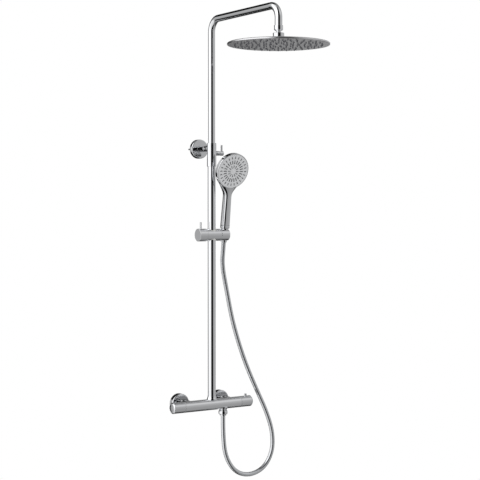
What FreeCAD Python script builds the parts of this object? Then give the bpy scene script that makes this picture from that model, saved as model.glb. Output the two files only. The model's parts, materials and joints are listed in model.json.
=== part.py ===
import FreeCAD, Part
import math
import os
import re
import Sketcher

# A thermostatic rainfall shower column. The wall is the plane Y = 0 and the column stands in front
# of it, towards -Y. X = 0 is midway between the two water inlets and Z = 0 is the valve's axis.

Vector = FreeCAD.Vector
doc = FreeCAD.newDocument("ShowerColumn")

# Every driving dimension, in millimetres and degrees: alias, value.
SIZES = [
    # fits
    ("face_gap", 0.3), ("running_fit", 0.05), ("seat_gap", 0.15),
    # thermostatic bar valve
    ("wall_gap", 85), ("inlet_spacing", 150), ("bar_radius", 17.5), ("body_half", 103.8),
    ("waterway_radius", 8), ("cartridge_radius", 13), ("cartridge_length", 44),
    ("spindle_radius", 4), ("spindle_length", 15), ("knob_length", 42.8), ("knob_bore", 15),
    ("knob_web", 4), ("cap_thickness", 4), ("cap_chamfer", 2), ("stop_button_place", 23.5),
    ("stop_button_radius", 4), ("stop_button_rise", 6.7), ("stop_button_travel", 3),
    # inlets
    ("spigot_radius", 11.5), ("spigot_length", 24), ("nut_radius", 15.5), ("nut_length", 24),
    ("union_radius", 10.48), ("union_tail_radius", 10), ("thread_length", 24), ("union_bore", 6),
    ("union_flange_radius", 13), ("union_flange", 3), ("wall_thread", 18), ("rosette_radius", 31),
    ("rosette_depth", 18.5), ("rosette_wall", 1.5), ("rosette_corner", 3), ("washer_thickness", 2),
    # riser
    ("lower_tube_radius", 12.5), ("lower_tube_bore", 11.1), ("base_nut_wall", 3),
    ("base_nut_bottom", 17), ("base_nut_height", 11), ("riser_boss_radius", 11),
    ("upper_pipe_radius", 11), ("upper_pipe_wall", 1.2), ("overlap_length", 380),
    ("arm_height", 1219.3), ("arm_reach", 375), ("bend_radius", 40), ("foot_plug_length", 12),
    ("foot_plug_spigot", 14),
    # wall bracket
    ("collar_wall", 2.25), ("collar_bottom", 757), ("collar_top", 831), ("collar_socket", 16),
    ("bracket_height", 814.5),
    ("bracket_rosette_radius", 30.75), ("bracket_rosette_depth", 14.7), ("bracket_arm_radius", 9.5),
    ("bracket_flare", 12.5), ("screw_spacing", 34), ("screw_radius", 2.5), ("screw_length", 32),
    ("lock_height", 799), ("lock_radius", 7.25), ("lock_end", 42), ("lever_radius", 3),
    ("lock_lever_place", 37), ("lock_lever_top", 26.5), ("guide_wall", 1.3), ("collar_lip", 2),
    # ball joint and overhead
    ("drop_end", 1150), ("drop_nut_radius", 13), ("drop_nut_bottom", 1142), ("drop_nut_top", 1158),
    ("ball_radius", 12), ("ball_height", 1129), ("ball_neck_radius", 7), ("joint_nut_radius", 16.5),
    ("joint_nut_top", 1136), ("friction_ring_wall", 1.4), ("joint_nut_bottom", 1113),
    ("head_radius", 150), ("head_underside", 1101), ("head_edge", 6), ("head_sheet", 1.0),
    ("head_crown", 8.5), ("head_boss_radius", 22), ("nozzle_radius", 2.2), ("nozzle_rise", 3),
    ("outer_ring_radius", 128), ("ring_step", 17), ("mat_thickness", 1.2),
    # slider
    ("slider_height", 540.3), ("slider_radius", 19), ("clamp_knob_step", 1),
    ("clamp_knob_left", 51.3), ("clamp_seam", 24), ("holder_seam", 28), ("holder_right", 58.6),
    ("clamp_lever_place", 40.6), ("clamp_lever_top", 41), ("brake_wall", 2.2), ("brake_rib", 1.2),
    ("pivot_radius", 5), ("washer_gap", 0.8), ("brake_rib_height", 6.5),
    ("clamp_screw_radius", 4), ("cone_place", 47),
    ("cone_top_radius", 12),
    ("cone_foot_radius", 9.3), ("cone_rise", 2), ("cone_drop", 5), ("hose_slot", 17),
    # handset
    ("handset_lean", 8), ("handle_half_width", 12.8), ("handle_half_depth", 12.6),
    ("handle_corner", 7), ("face_front", 139), ("face_height", 741), ("face_radius", 57),
    ("face_tilt", 18), ("rim_depth", 14), ("back_crown", 7), ("shell_wall", 2.2),
    ("dial_rim", 5), ("dial_thickness", 3),
    ("face_cap_radius", 9), ("handset_waterway", 6),
    # hose and its outlet
    ("hose_place", 42), ("hose_radius", 7), ("outlet_boss_radius", 11), ("outlet_boss_drop", 22),
    ("outlet_flare", 5), ("outlet_nut_radius", 14.5), ("outlet_skirt_radius", 10.5),
    ("outlet_nut_bottom", 39), ("outlet_nut_round", 34),
    ("check_valve_radius", 7), ("check_valve_length", 12),
]

sheet = doc.addObject("Spreadsheet::Sheet", "Sizes")
for row, (alias, number) in enumerate(SIZES, start=1):
    sheet.set(f"A{row}", alias)
    sheet.set(f"B{row}", str(number))
    sheet.setAlias(f"B{row}", alias)
doc.recompute()

FUNCTIONS = ("sin", "cos", "tan", "sqrt")
AXES = {"X": Vector(1, 0, 0), "Y": Vector(0, 1, 0), "Z": Vector(0, 0, 1)}
nodes = {}

# Reads the value of a formula, so that a sketch starts close to its solution.
gauge = doc.addObject("App::FeaturePython", "Gauge")
gauge.addProperty("App::PropertyFloat", "Reading")


def formula(text):
    """A formula in the sheet's aliases, with each alias naming its sheet."""
    def name(match):
        word = match.group(0)
        return word if word in FUNCTIONS else "Sizes." + word
    return re.sub(r"[a-z][a-z_]*", name, str(text))


def size(text):
    """The present value of a formula in the sheet's aliases."""
    gauge.setExpression("Reading", formula(text))
    gauge.recompute()
    return gauge.Reading


def place(piece, at, axis="Z"):
    """Turn a piece from +Z to the axis and bind its place to the sheet."""
    turn = FreeCAD.Rotation(AXES["Z"], AXES[axis])
    piece.Placement = FreeCAD.Placement(Vector(*[size(part) for part in at]), turn)
    for letter, part in zip("xyz", at):
        piece.setExpression("Placement.Base." + letter, formula(part))
    return piece


def keep(label, piece):
    """Name a finished sub-part, which is then written to its own file."""
    piece.Label = label
    nodes[label] = piece
    return piece


def bound_sketch(body, role, corners):
    """A closed outline whose every corner is held by two distances from the origin."""
    sketch = body.newObject("Sketcher::SketchObject", "Outline")
    plane = [item for item in body.Origin.OriginFeatures if item.Role == role][0]
    sketch.AttachmentSupport = [(plane, "")]
    sketch.MapMode = "FlatFace"
    spots = [Vector(size(across), size(along), 0) for across, along in corners]
    for index, spot in enumerate(spots):
        sketch.addGeometry(Part.LineSegment(spot, spots[(index + 1) % len(spots)]), False)
    for index in range(len(spots)):
        following = (index + 1) % len(spots)
        sketch.addConstraint(Sketcher.Constraint("Coincident", index, 2, following, 1))
    for index, (across, along) in enumerate(corners):
        spot = spots[index]
        for kind, text, distance in (("DistanceX", across, spot.x), ("DistanceY", along, spot.y)):
            number = sketch.addConstraint(Sketcher.Constraint(kind, -1, 1, index, 1, distance))
            sketch.setExpression(f"Constraints[{number}]", formula(text))
    return sketch


def turned(corners, at=("0", "0", "0"), axis="Z"):
    """A turned piece: (radius, station) corners revolved about the axis."""
    body = doc.addObject("PartDesign::Body", "Turned")
    sketch = bound_sketch(body, "XZ_Plane", corners)
    turn = body.newObject("PartDesign::Revolution", "Revolution")
    turn.Profile = sketch
    turn.ReferenceAxis = (sketch, ["V_Axis"])
    turn.Angle = 360
    body.Tip = turn
    return place(body, at, axis)


def rod(radius, length, at, axis="Z"):
    """A plain cylinder from a point along an axis."""
    piece = doc.addObject("Part::Cylinder", "Rod")
    piece.setExpression("Radius", formula(radius))
    piece.setExpression("Height", formula(length))
    return place(piece, at, axis)


def taper(radius, end_radius, length, at, axis="Z"):
    """A cone's frustum from a point along an axis."""
    piece = doc.addObject("Part::Cone", "Taper")
    piece.setExpression("Radius1", formula(radius))
    piece.setExpression("Radius2", formula(end_radius))
    piece.setExpression("Height", formula(length))
    return place(piece, at, axis)


def ring(inner, outer, length, at, axis="Z"):
    """A plain tube or washer."""
    return turned([(inner, "0"), (outer, "0"), (outer, length), (inner, length)], at, axis)


def join(*pieces):
    whole = doc.addObject("Part::MultiFuse", "Joined")
    whole.Shapes = list(pieces)
    whole.Refine = True
    return whole


def meet(first, second):
    shared = doc.addObject("Part::MultiCommon", "Shared")
    shared.Shapes = [first, second]
    return shared


def cut(base, *tools):
    for tool in tools:
        piece = doc.addObject("Part::Cut", "Cut")
        piece.Base = base
        piece.Tool = tool
        base = piece
    return base


def solid_piece(label, shape):
    """A sub-part whose shape is worked out directly from the sheet's values."""
    piece = doc.addObject("Part::Feature", "Shaped")
    piece.Shape = shape
    return keep(label, piece)


VALVE = ("0", "-wall_gap", "0")

# ---------------------------------------------------------------- thermostatic bar valve


def valve_body():
    """The bar with its inlet spigots, riser boss and hose outlet, bored for two cartridges."""
    bar = rod("bar_radius", "body_half * 2", ("-body_half", "-wall_gap", "0"), "X")
    pieces = [bar]
    holes = [rod("waterway_radius", "body_half * 2", ("-body_half", "-wall_gap", "0"), "X")]
    bore = "cartridge_radius + seat_gap"
    depth = "cartridge_length + 1"
    for start in ("-body_half - 1", "body_half - cartridge_length"):
        holes.append(rod(bore, depth, (start, "-wall_gap", "0"), "X"))
    for side in ("-", ""):
        inlet = side + "inlet_spacing / 2"
        pieces.append(rod("spigot_radius", "spigot_length + 1", (inlet, "-wall_gap", "0"), "Y"))
        holes.append(rod("union_bore", "spigot_length + 2", (inlet, "-wall_gap", "0"), "Y"))
    pieces.append(rod("riser_boss_radius", "base_nut_bottom + 2", VALVE))
    holes.append(rod("union_bore", "base_nut_bottom + 4", VALVE))
    outlet = ("hose_place", "-wall_gap", "-outlet_boss_drop")
    flared = "outlet_boss_radius + outlet_flare"
    pieces.append(taper("outlet_boss_radius", flared, "outlet_boss_drop", outlet))
    holes.append(rod("check_valve_radius + running_fit", "check_valve_length + 1",
                     ("hose_place", "-wall_gap", "-outlet_boss_drop - 1")))
    holes.append(rod("waterway_radius - 3", "outlet_boss_drop", outlet))
    keep("valve_body", cut(join(*pieces), *holes))


def cartridge(label, side):
    """A brass cartridge filling one end of the bar, with the hole for its spindle."""
    start = "body_half - cartridge_length + 0.5"
    stem = "spindle_radius + running_fit"
    corners = [(stem, start), ("cartridge_radius", start), ("cartridge_radius", "body_half - 3"),
               ("cartridge_radius - 2", "body_half + 4"), (stem, "body_half + 4")]
    if side < 0:
        corners = [(radius, f"-({station})") for radius, station in corners]
    keep(label, turned(corners, VALVE, "X"))


def spindle(label, side):
    """The stem that the knob turns: it runs in the cartridge and ends under the knob's screw."""
    sign = "" if side > 0 else "-"
    inner = "body_half - cartridge_length + 4"
    outer = "body_half + spindle_length"
    corners = [("0", f"{sign}({inner})"), ("spindle_radius", f"{sign}({inner})"),
               ("spindle_radius", f"{sign}({outer})"), ("0", f"{sign}({outer})")]
    keep(label, turned(corners, VALVE, "X"))


def knob(label, side, with_button):
    """A hollow knob the bar's own diameter, with a web that grips the spindle."""
    sign = "" if side > 0 else "-"
    near = "body_half + face_gap"
    far = "body_half + knob_length - cap_thickness"
    web = "body_half + spindle_length - knob_web"
    grip = "spindle_radius"
    corners = [("knob_bore", near), ("bar_radius", near), ("bar_radius", far), ("knob_bore", far),
               ("knob_bore", web + " + knob_web"), (grip, web + " + knob_web"), (grip, web),
               ("knob_bore", web)]
    piece = turned([(radius, f"{sign}({station})") for radius, station in corners], VALVE, "X")
    if with_button:
        hole = rod("stop_button_radius + running_fit", "bar_radius",
                   ("body_half + stop_button_place", "-wall_gap", "knob_bore - 2"))
        piece = cut(piece, hole)
    keep(label, piece)


def knob_cap(label, side):
    """The chamfered, slightly domed cap pressed into the knob's open end."""
    sign = "" if side > 0 else "-"
    seat = "body_half + knob_length - cap_thickness"
    end = "body_half + knob_length + face_gap"
    corners = [("0", seat + " - 3"), ("knob_bore - seat_gap", seat + " - 3"),
               ("knob_bore - seat_gap", seat), ("bar_radius", seat), ("bar_radius", end + " - cap_chamfer"),
               ("bar_radius - cap_chamfer", end + " - 0.4"), ("0", end)]
    keep(label, turned([(radius, f"{sign}({station})") for radius, station in corners], VALVE, "X"))


def knob_screw(label, side):
    sign = "" if side > 0 else "-"
    seat = "body_half + spindle_length"
    corners = [("0", seat), ("spindle_radius + 1.5", seat), ("spindle_radius + 1.5", seat + " + 3"),
               ("0", seat + " + 3")]
    keep(label, turned([(radius, f"{sign}({station})") for radius, station in corners], VALVE, "X"))


def stop_button():
    """The temperature stop: a stud through the top of the knob, on a flange inside it."""
    foot = "knob_bore - stop_button_travel - 4"
    top = "bar_radius + stop_button_rise"
    keep("temperature_stop_button", turned([
        ("0", foot), ("stop_button_radius + 1.2", foot), ("stop_button_radius + 1.2", foot + " + 1.5"),
        ("stop_button_radius", foot + " + 1.5"), ("stop_button_radius", top + " - 0.8"),
        ("stop_button_radius - 0.8", top), ("0", top),
    ], ("body_half + stop_button_place", "-wall_gap", "0")))


# ---------------------------------------------------------------- wall inlets


def inlet(side_name, sign):
    middle = sign + "inlet_spacing / 2"
    nut_start = "bar_radius + face_gap - wall_gap"
    nut_end = nut_start + " + nut_length"
    spigot_end = "spigot_length + 1 - wall_gap"
    flange_start = spigot_end + " + washer_thickness"
    keep(side_name + "_union_nut", turned([
        ("spigot_radius + seat_gap", "0"), ("nut_radius", "0"), ("nut_radius", "nut_length - 2"),
        ("nut_radius - 2", "nut_length"), ("union_radius + seat_gap", "nut_length"),
        ("union_radius + seat_gap", f"{flange_start} - ({nut_start}) + union_flange + seat_gap"),
        ("union_flange_radius + seat_gap", f"{flange_start} - ({nut_start}) + union_flange + seat_gap"),
        ("union_flange_radius + seat_gap", f"{spigot_end} - ({nut_start})"),
        ("spigot_radius + seat_gap", f"{spigot_end} - ({nut_start})"),
    ], (middle, nut_start, "0"), "Y"))
    seat = (middle, spigot_end, "0")
    washer = ring("union_bore", "union_flange_radius - 1", "washer_thickness", seat, "Y")
    keep(side_name + "_strainer_washer", washer)
    keep(side_name + "_wall_union", turned([
        ("union_bore", "0"), ("union_flange_radius", "0"), ("union_flange_radius", "union_flange"),
        ("union_tail_radius", "union_flange"),
        ("union_tail_radius", f"wall_thread - thread_length - ({flange_start})"),
        ("union_radius", f"wall_thread - thread_length - ({flange_start})"),
        ("union_radius", f"wall_thread - ({flange_start})"),
        ("union_bore", f"wall_thread - ({flange_start})"),
    ], (middle, flange_start, "0"), "Y"))
    keep(side_name + "_rosette", turned([
        ("rosette_radius - rosette_wall", "0"), ("rosette_radius", "0"),
        ("rosette_radius", "rosette_corner - rosette_depth"),
        ("rosette_radius - rosette_corner", "-rosette_depth"), ("union_radius + face_gap", "-rosette_depth"),
        ("union_radius + face_gap", "rosette_wall - rosette_depth"),
        ("rosette_radius - rosette_corner", "rosette_wall - rosette_depth"),
        ("rosette_radius - rosette_wall", "rosette_corner + rosette_wall - rosette_depth"),
    ], (middle, "0", "0"), "Y"))


# ---------------------------------------------------------------- riser


def riser():
    """The nut on the valve, the lower tube, and the upper pipe that slides down inside it."""
    axis = ("0", "-wall_gap", "0")
    seat = "base_nut_bottom + 3"
    top = "base_nut_bottom + base_nut_height"
    keep("riser_base_nut", turned([
        ("riser_boss_radius + seat_gap", "base_nut_bottom + 0.6"),
        ("lower_tube_radius + base_nut_wall", "base_nut_bottom + 0.6"),
        ("lower_tube_radius + base_nut_wall", "base_nut_bottom + 2"), ("lower_tube_radius + 1", top),
        ("lower_tube_radius + seat_gap", top), ("lower_tube_radius + seat_gap", seat),
        ("riser_boss_radius + seat_gap", seat),
    ], axis))
    keep("riser_seal", ring("waterway_radius", "riser_boss_radius", "0.8",
                            ("0", "-wall_gap", "base_nut_bottom + 2.1")))
    length = f"collar_bottom + collar_socket - ({seat})"
    keep("lower_riser_tube", ring("lower_tube_bore", "lower_tube_radius", length,
                                  ("0", "-wall_gap", seat)))


def overhead_pipe():
    """One bent pipe: up inside the riser, forward over the user, and down to the head."""
    reach, top, bend = size("arm_reach"), size("arm_height"), size("bend_radius")
    back, front = -size("wall_gap"), -size("wall_gap") - reach
    foot = size("collar_bottom - overlap_length")
    end = size("drop_end")
    corner = bend * (1 - math.sqrt(0.5))
    path = Part.Wire([
        Part.LineSegment(Vector(0, back, foot), Vector(0, back, top - bend)).toShape(),
        Part.Arc(Vector(0, back, top - bend), Vector(0, back - corner, top - corner),
                 Vector(0, back - bend, top)).toShape(),
        Part.LineSegment(Vector(0, back - bend, top), Vector(0, front + bend, top)).toShape(),
        Part.Arc(Vector(0, front + bend, top), Vector(0, front + corner, top - corner),
                 Vector(0, front, top - bend)).toShape(),
        Part.LineSegment(Vector(0, front, top - bend), Vector(0, front, end)).toShape(),
    ])
    outer = size("upper_pipe_radius")
    skins = []
    for radius in (outer, outer - size("upper_pipe_wall")):
        start = Part.Wire([Part.Circle(Vector(0, back, foot), AXES["Z"], radius).toShape()])
        skins.append(path.makePipeShell([start], True, False))
    solid_piece("overhead_pipe", skins[0].cut(skins[1]))


def riser_guides():
    """The bush in the collar, and the plug at the upper pipe's foot: the pipe slides in the one and
    the other slides in the tube."""
    axis = ("0", "-wall_gap", "0")
    inner = "upper_pipe_radius + running_fit"
    outer = "upper_pipe_radius + guide_wall"
    low = "collar_bottom + collar_socket + 8"
    high = "collar_top - collar_lip - seat_gap"
    keep("riser_guide_bush", turned([(inner, low), (outer, low), (outer, high), (inner, high)], axis))
    foot = "collar_bottom - overlap_length"
    bore = "waterway_radius - 1"
    skirt = "lower_tube_bore - running_fit"
    spigot = "upper_pipe_radius - upper_pipe_wall - running_fit"
    keep("pipe_foot_plug", turned([
        (bore, foot + " - foot_plug_length"), (skirt, foot + " - foot_plug_length"),
        (skirt, foot + " - face_gap"), (spigot, foot + " - face_gap"),
        (spigot, foot + " + foot_plug_spigot"), (bore, foot + " + foot_plug_spigot"),
    ], axis))


# ---------------------------------------------------------------- wall bracket


def wall_bracket():
    axis = ("0", "-wall_gap", "0")
    bore = "upper_pipe_radius + guide_wall + running_fit"
    outer = "lower_tube_radius + collar_wall"
    collar = turned([
        ("lower_tube_radius + seat_gap", "collar_bottom"), (outer, "collar_bottom"),
        (outer, "collar_top"), ("upper_pipe_radius + face_gap", "collar_top"),
        ("upper_pipe_radius + face_gap", "collar_top - collar_lip"), (bore, "collar_top - collar_lip"),
        (bore, "collar_bottom + collar_socket + 2"),
        ("lower_tube_radius + seat_gap", "collar_bottom + collar_socket + 1.6"),
    ], axis)
    arm = turned([
        ("0", "lower_tube_radius + 1 - wall_gap"), ("bracket_flare", "lower_tube_radius + 1 - wall_gap"),
        ("bracket_arm_radius", "lower_tube_radius + 14 - wall_gap"), ("bracket_arm_radius", "-3"),
        ("0", "-3"),
    ], ("0", "0", "bracket_height"), "Y")
    length = "collar_top - collar_lip - collar_bottom - collar_socket - 2"
    room = rod(bore, length, ("0", "-wall_gap", "collar_bottom + collar_socket + 2"))
    lock = rod("3 + running_fit", outer + " + 2", ("0", "-wall_gap", "lock_height"), "X")
    keep("bracket_collar_arm", cut(join(collar, arm), room, lock))
    keep("bracket_rosette", turned([
        ("bracket_rosette_radius - rosette_wall", "0"), ("bracket_rosette_radius", "0"),
        ("bracket_rosette_radius", "rosette_corner - bracket_rosette_depth"),
        ("bracket_rosette_radius - rosette_corner", "-bracket_rosette_depth"),
        ("bracket_arm_radius + seat_gap", "-bracket_rosette_depth"),
        ("bracket_arm_radius + seat_gap", "rosette_wall - bracket_rosette_depth"),
        ("bracket_rosette_radius - rosette_corner", "rosette_wall - bracket_rosette_depth"),
        ("bracket_rosette_radius - rosette_wall", "rosette_corner + rosette_wall - bracket_rosette_depth"),
    ], ("0", "0", "bracket_height"), "Y"))
    plate = turned([
        ("bracket_arm_radius + seat_gap", "-3.5"), ("bracket_rosette_radius - 3", "-3.5"),
        ("bracket_rosette_radius - 3", "0"), ("0", "0"), ("0", "-2.8"),
        ("bracket_arm_radius + seat_gap", "-2.8"),
    ], ("0", "0", "bracket_height"), "Y")
    screws = []
    holes = []
    for sign in ("-", ""):
        spot = (sign + "screw_spacing / 2", "-3.5", "bracket_height")
        holes.append(rod("screw_radius + seat_gap", "4", spot, "Y"))
        screws.append(turned([
            ("0", "-3"), ("screw_radius + 2", "-3"), ("screw_radius + 2", "-0.1"),
            ("screw_radius", "-0.1"), ("screw_radius", "screw_length"), ("0", "screw_length"),
        ], spot, "Y"))
    keep("bracket_wall_plate", cut(plate, *holes))
    group = doc.addObject("Part::Compound", "Screws")
    group.Links = screws
    keep("bracket_wall_screws", group)


def bracket_lock():
    """The clamp screw on the collar's right, with its upright lever pin."""
    side = "lower_tube_radius + collar_wall"
    barrel = turned([
        ("0", "upper_pipe_radius + guide_wall + 0.5"), ("3", "upper_pipe_radius + guide_wall + 0.5"),
        ("3", side + " + face_gap"), ("lock_radius - 1.5", side + " + face_gap"),
        ("lock_radius - 1.5", side + " + 8"), ("lock_radius", side + " + 9"),
        ("lock_radius", "lock_end - 1"), ("lock_radius - 1", "lock_end"), ("0", "lock_end"),
    ], ("0", "-wall_gap", "lock_height"), "X")
    hole = rod("lever_radius", "lock_radius + 2", ("lock_lever_place", "-wall_gap", "lock_height + 1"))
    keep("bracket_lock_screw", cut(barrel, hole))
    keep("bracket_lock_lever", turned([
        ("0", "1"), ("lever_radius", "1"), ("lever_radius", "lock_lever_top - 0.8"),
        ("lever_radius - 0.8", "lock_lever_top"), ("0", "lock_lever_top"),
    ], ("lock_lever_place", "-wall_gap", "lock_height")))


# ---------------------------------------------------------------- ball joint and head

HEAD_AXIS = ("0", "-wall_gap - arm_reach", "0")


def ball_joint():
    keep("drop_pipe_nut", turned([
        ("ball_neck_radius + seat_gap", "drop_nut_bottom"), ("drop_nut_radius - 2", "drop_nut_bottom"),
        ("drop_nut_radius", "drop_nut_bottom + 2"), ("drop_nut_radius", "drop_nut_top"),
        ("upper_pipe_radius + seat_gap", "drop_nut_top"), ("upper_pipe_radius + seat_gap", "drop_end - 0.2"),
        ("ball_neck_radius + seat_gap", "drop_end - 0.2"),
    ], HEAD_AXIS))
    x, y = HEAD_AXIS[:2]
    ball = doc.addObject("Part::Sphere", "Ball")
    ball.setExpression("Radius", formula("ball_radius"))
    place(ball, (x, y, "ball_height"))
    stem = rod("ball_neck_radius", "drop_end + 14 - ball_height", (x, y, "ball_height"))
    bore = rod("ball_neck_radius - 3", "drop_end + 20 - ball_height + ball_radius",
               (x, y, "ball_height - ball_radius - 1"))
    keep("ball_stem", cut(join(ball, stem), bore))


def band(inner, outer, low, high, centre):
    """A ring cut from a hollow sphere, between two heights from its centre."""
    middle = Vector(*[size(part) for part in centre])
    shell = Part.makeSphere(outer, middle).cut(Part.makeSphere(inner, middle))
    slab = Part.makeCylinder(outer + 1, high - low, middle + Vector(0, 0, low))
    return shell.common(slab)


def friction_ring():
    inner = size("ball_radius + running_fit")
    outer = size("ball_radius + friction_ring_wall")
    centre = (HEAD_AXIS[0], HEAD_AXIS[1], "ball_height")
    solid_piece("ball_friction_ring", band(inner, outer, -3.5, 3.5, centre))


def joint_nut():
    """The round nut that holds the ball, hollowed to a sphere around the friction ring."""
    centre = Vector(*[size(part) for part in (HEAD_AXIS[0], HEAD_AXIS[1], "ball_height")])
    low, high = size("joint_nut_bottom"), size("joint_nut_top")
    radius = size("joint_nut_radius")
    block = Part.makeCylinder(radius, high - low, Vector(centre.x, centre.y, low))
    block = block.makeChamfer(0.8, [edge for edge in block.Edges if edge.Closed])
    hollow = Part.makeSphere(size("ball_radius + friction_ring_wall + running_fit"), centre)
    inner, outer = size("ball_radius - 1"), size("ball_radius + 1.3")
    mouth = Part.makeCone(inner, outer, high - centre.z + 1, centre)
    under = Vector(centre.x, centre.y, low - 1)
    foot = Part.makeCylinder(size("ball_radius - 3"), centre.z - low + 1, under)
    solid_piece("ball_joint_nut", block.cut(hollow).cut(mouth).cut(foot))


def rings():
    """Radius, number and turn of each ring of nozzles."""
    outer, step = size("outer_ring_radius"), size("ring_step")
    plan = ((32, 0), (32, 0.5), (32, 0), (16, 0), (16, 0.5), (16, 0), (8, 0))
    return [(outer - index * step, count, shift) for index, (count, shift) in enumerate(plan)]


def nozzle_spots():
    for radius, count, shift in rings():
        for index in range(count):
            angle = 2 * math.pi * (index + shift) / count
            yield radius * math.cos(angle), radius * math.sin(angle)


def rain_head():
    """A pressed top shell, a flat nozzle plate in its rim and the silicone nozzle mat between."""
    x, y = size(HEAD_AXIS[0]), size(HEAD_AXIS[1])
    under = "head_underside"
    boss = "joint_nut_bottom - face_gap"
    throat = "ball_radius - 3"
    slope = "head_boss_radius + 4"
    rim = "head_radius - 4"
    keep("head_top_shell", turned([
        (throat, boss), ("head_boss_radius", boss), (slope, "head_underside + head_crown + head_sheet"),
        ("head_radius - 2.5", "head_underside + head_edge"),
        ("head_radius", "head_underside + head_edge - 2"), ("head_radius", under),
        ("head_radius - head_sheet", under),
        ("head_radius - head_sheet", "head_underside + head_sheet + seat_gap"),
        (rim, "head_underside + head_sheet + seat_gap"),
        (rim, "head_underside + head_edge - head_sheet"),
        (slope, "head_underside + head_crown"), (throat, "head_underside + head_crown"),
    ], HEAD_AXIS))
    low, thickness = size(under), size("head_sheet")
    plate_radius = size("head_radius - head_sheet - seat_gap")
    plate = Part.makeCylinder(plate_radius, thickness, Vector(x, y, low))
    mat_foot = Vector(x, y, low + thickness + size("running_fit"))
    mat = Part.makeCylinder(size("outer_ring_radius + 5"), size("mat_thickness"), mat_foot)
    tip, rise = size("nozzle_radius"), size("nozzle_rise")
    holes = []
    tips = []
    for across, along in nozzle_spots():
        spot = Vector(x + across, y + along, low)
        start = spot - AXES["Z"]
        holes.append(Part.makeCylinder(tip + size("running_fit"), thickness + 2, start))
        tips.append(Part.makeCone(tip * 0.75, tip, rise + thickness + 0.5, spot - AXES["Z"] * rise))
    solid_piece("head_nozzle_plate", plate.cut(holes))
    solid_piece("head_nozzle_mat", mat.fuse(tips))


# ---------------------------------------------------------------- slider


SLIDER = ("0", "-wall_gap", "slider_height")


def brake_bush():
    """The ribbed nylon bush that grips the riser; the slider's body turns round it."""
    inner = "lower_tube_radius + running_fit"
    outer = "lower_tube_radius + brake_wall"
    rib = outer + " + brake_rib"
    top = "brake_rib_height + 2"
    outline = [(inner, "-slider_radius"), (outer, "-slider_radius"), (outer, f"-({top})"),
               (rib, f"-({top})"), (rib, "-brake_rib_height"), (outer, "-brake_rib_height"),
               (outer, "brake_rib_height"),
               (rib, "brake_rib_height"), (rib, top), (outer, top), (outer, "slider_radius"),
               (inner, "slider_radius")]
    start = ("-lower_tube_radius * 2", "-wall_gap", "slider_height")
    barrel = rod("slider_radius - face_gap", "lower_tube_radius * 4", start, "X")
    keep("slider_brake_bush", meet(turned(outline, SLIDER), barrel))


def slider_body():
    left = ("-clamp_seam", "-wall_gap", "slider_height")
    barrel = rod("slider_radius", "clamp_seam + holder_seam", left, "X")
    outer = "lower_tube_radius + brake_wall + running_fit"
    bore = rod(outer, "slider_radius * 2 + 4", ("0", "-wall_gap", "slider_height - slider_radius - 2"))
    grooves = []
    for low in ("slider_height - brake_rib_height - 2", "slider_height + brake_rib_height"):
        place_at = ("0", "-wall_gap", low + " - running_fit")
        grooves.append(rod(outer + " + brake_rib", "2 + 2 * running_fit", place_at))
    pivot_start = ("lower_tube_radius + brake_wall + 3", "-wall_gap", "slider_height")
    pivot = rod("pivot_radius", "holder_seam", pivot_start, "X")
    screw = rod("clamp_screw_radius + running_fit", "clamp_seam", left, "X")
    keep("slider_body", cut(barrel, bore, *grooves, pivot, screw))


def holder_pivot():
    start = "lower_tube_radius + brake_wall + 3"
    length = f"holder_seam + 5 - ({start})"
    keep("holder_pivot_bolt", rod("pivot_radius", length, (start, "-wall_gap", "slider_height"), "X"))
    seam = ("holder_seam", "-wall_gap", "slider_height")
    washer = ring("pivot_radius + seat_gap", "slider_radius - 2", "washer_gap", seam, "X")
    keep("holder_friction_washer", washer)


def clamp_knob():
    near = "clamp_seam + face_gap"
    barrel = turned([
        ("0", f"-({near})"), ("slider_radius + clamp_knob_step", f"-({near})"),
        ("slider_radius + clamp_knob_step", "-clamp_knob_left + 1"),
        ("slider_radius + clamp_knob_step - 1", "-clamp_knob_left"), ("0", "-clamp_knob_left"),
    ], SLIDER, "X")
    lever = ("-clamp_lever_place", "-wall_gap", "slider_height + 8")
    hole = rod("lever_radius", "slider_radius + clamp_knob_step + 2", lever)
    socket = rod("clamp_screw_radius", "12", ("-clamp_seam - 12", "-wall_gap", "slider_height"), "X")
    keep("slider_clamp_knob", cut(barrel, hole, socket))
    keep("slider_clamp_lever", turned([
        ("0", "8"), ("lever_radius", "8"), ("lever_radius", "clamp_lever_top - 0.8"),
        ("lever_radius - 0.8", "clamp_lever_top"), ("0", "clamp_lever_top"),
    ], ("-clamp_lever_place", "-wall_gap", "slider_height")))
    reach = "clamp_seam + 12 - lower_tube_radius - brake_wall - 2 * face_gap"
    screw_start = ("-clamp_seam - 12", "-wall_gap", "slider_height")
    keep("slider_clamp_screw", rod("clamp_screw_radius", reach, screw_start, "X"))


# The handset's axis leans forward out of the vertical, through the slider's own axis.


def lean():
    angle = math.radians(size("handset_lean"))
    return Vector(0, -math.sin(angle), math.cos(angle))


def cone_point(station):
    """The point of the handset's axis at a distance above the slider's axis."""
    return Vector(size("cone_place"), -size("wall_gap"), size("slider_height")) + lean() * station


def cone_solid(extra, low, high):
    """The taper that the hose's cone nut and the holder's bore share, grown by a clearance."""
    foot, top = -size("slider_radius + cone_drop"), size("slider_radius + cone_rise")
    slope = (size("cone_top_radius") - size("cone_foot_radius")) / (top - foot)
    radii = [size("cone_foot_radius") + slope * (station - foot) + extra for station in (low, high)]
    return Part.makeCone(radii[0], radii[1], high - low, cone_point(low), lean())


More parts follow.
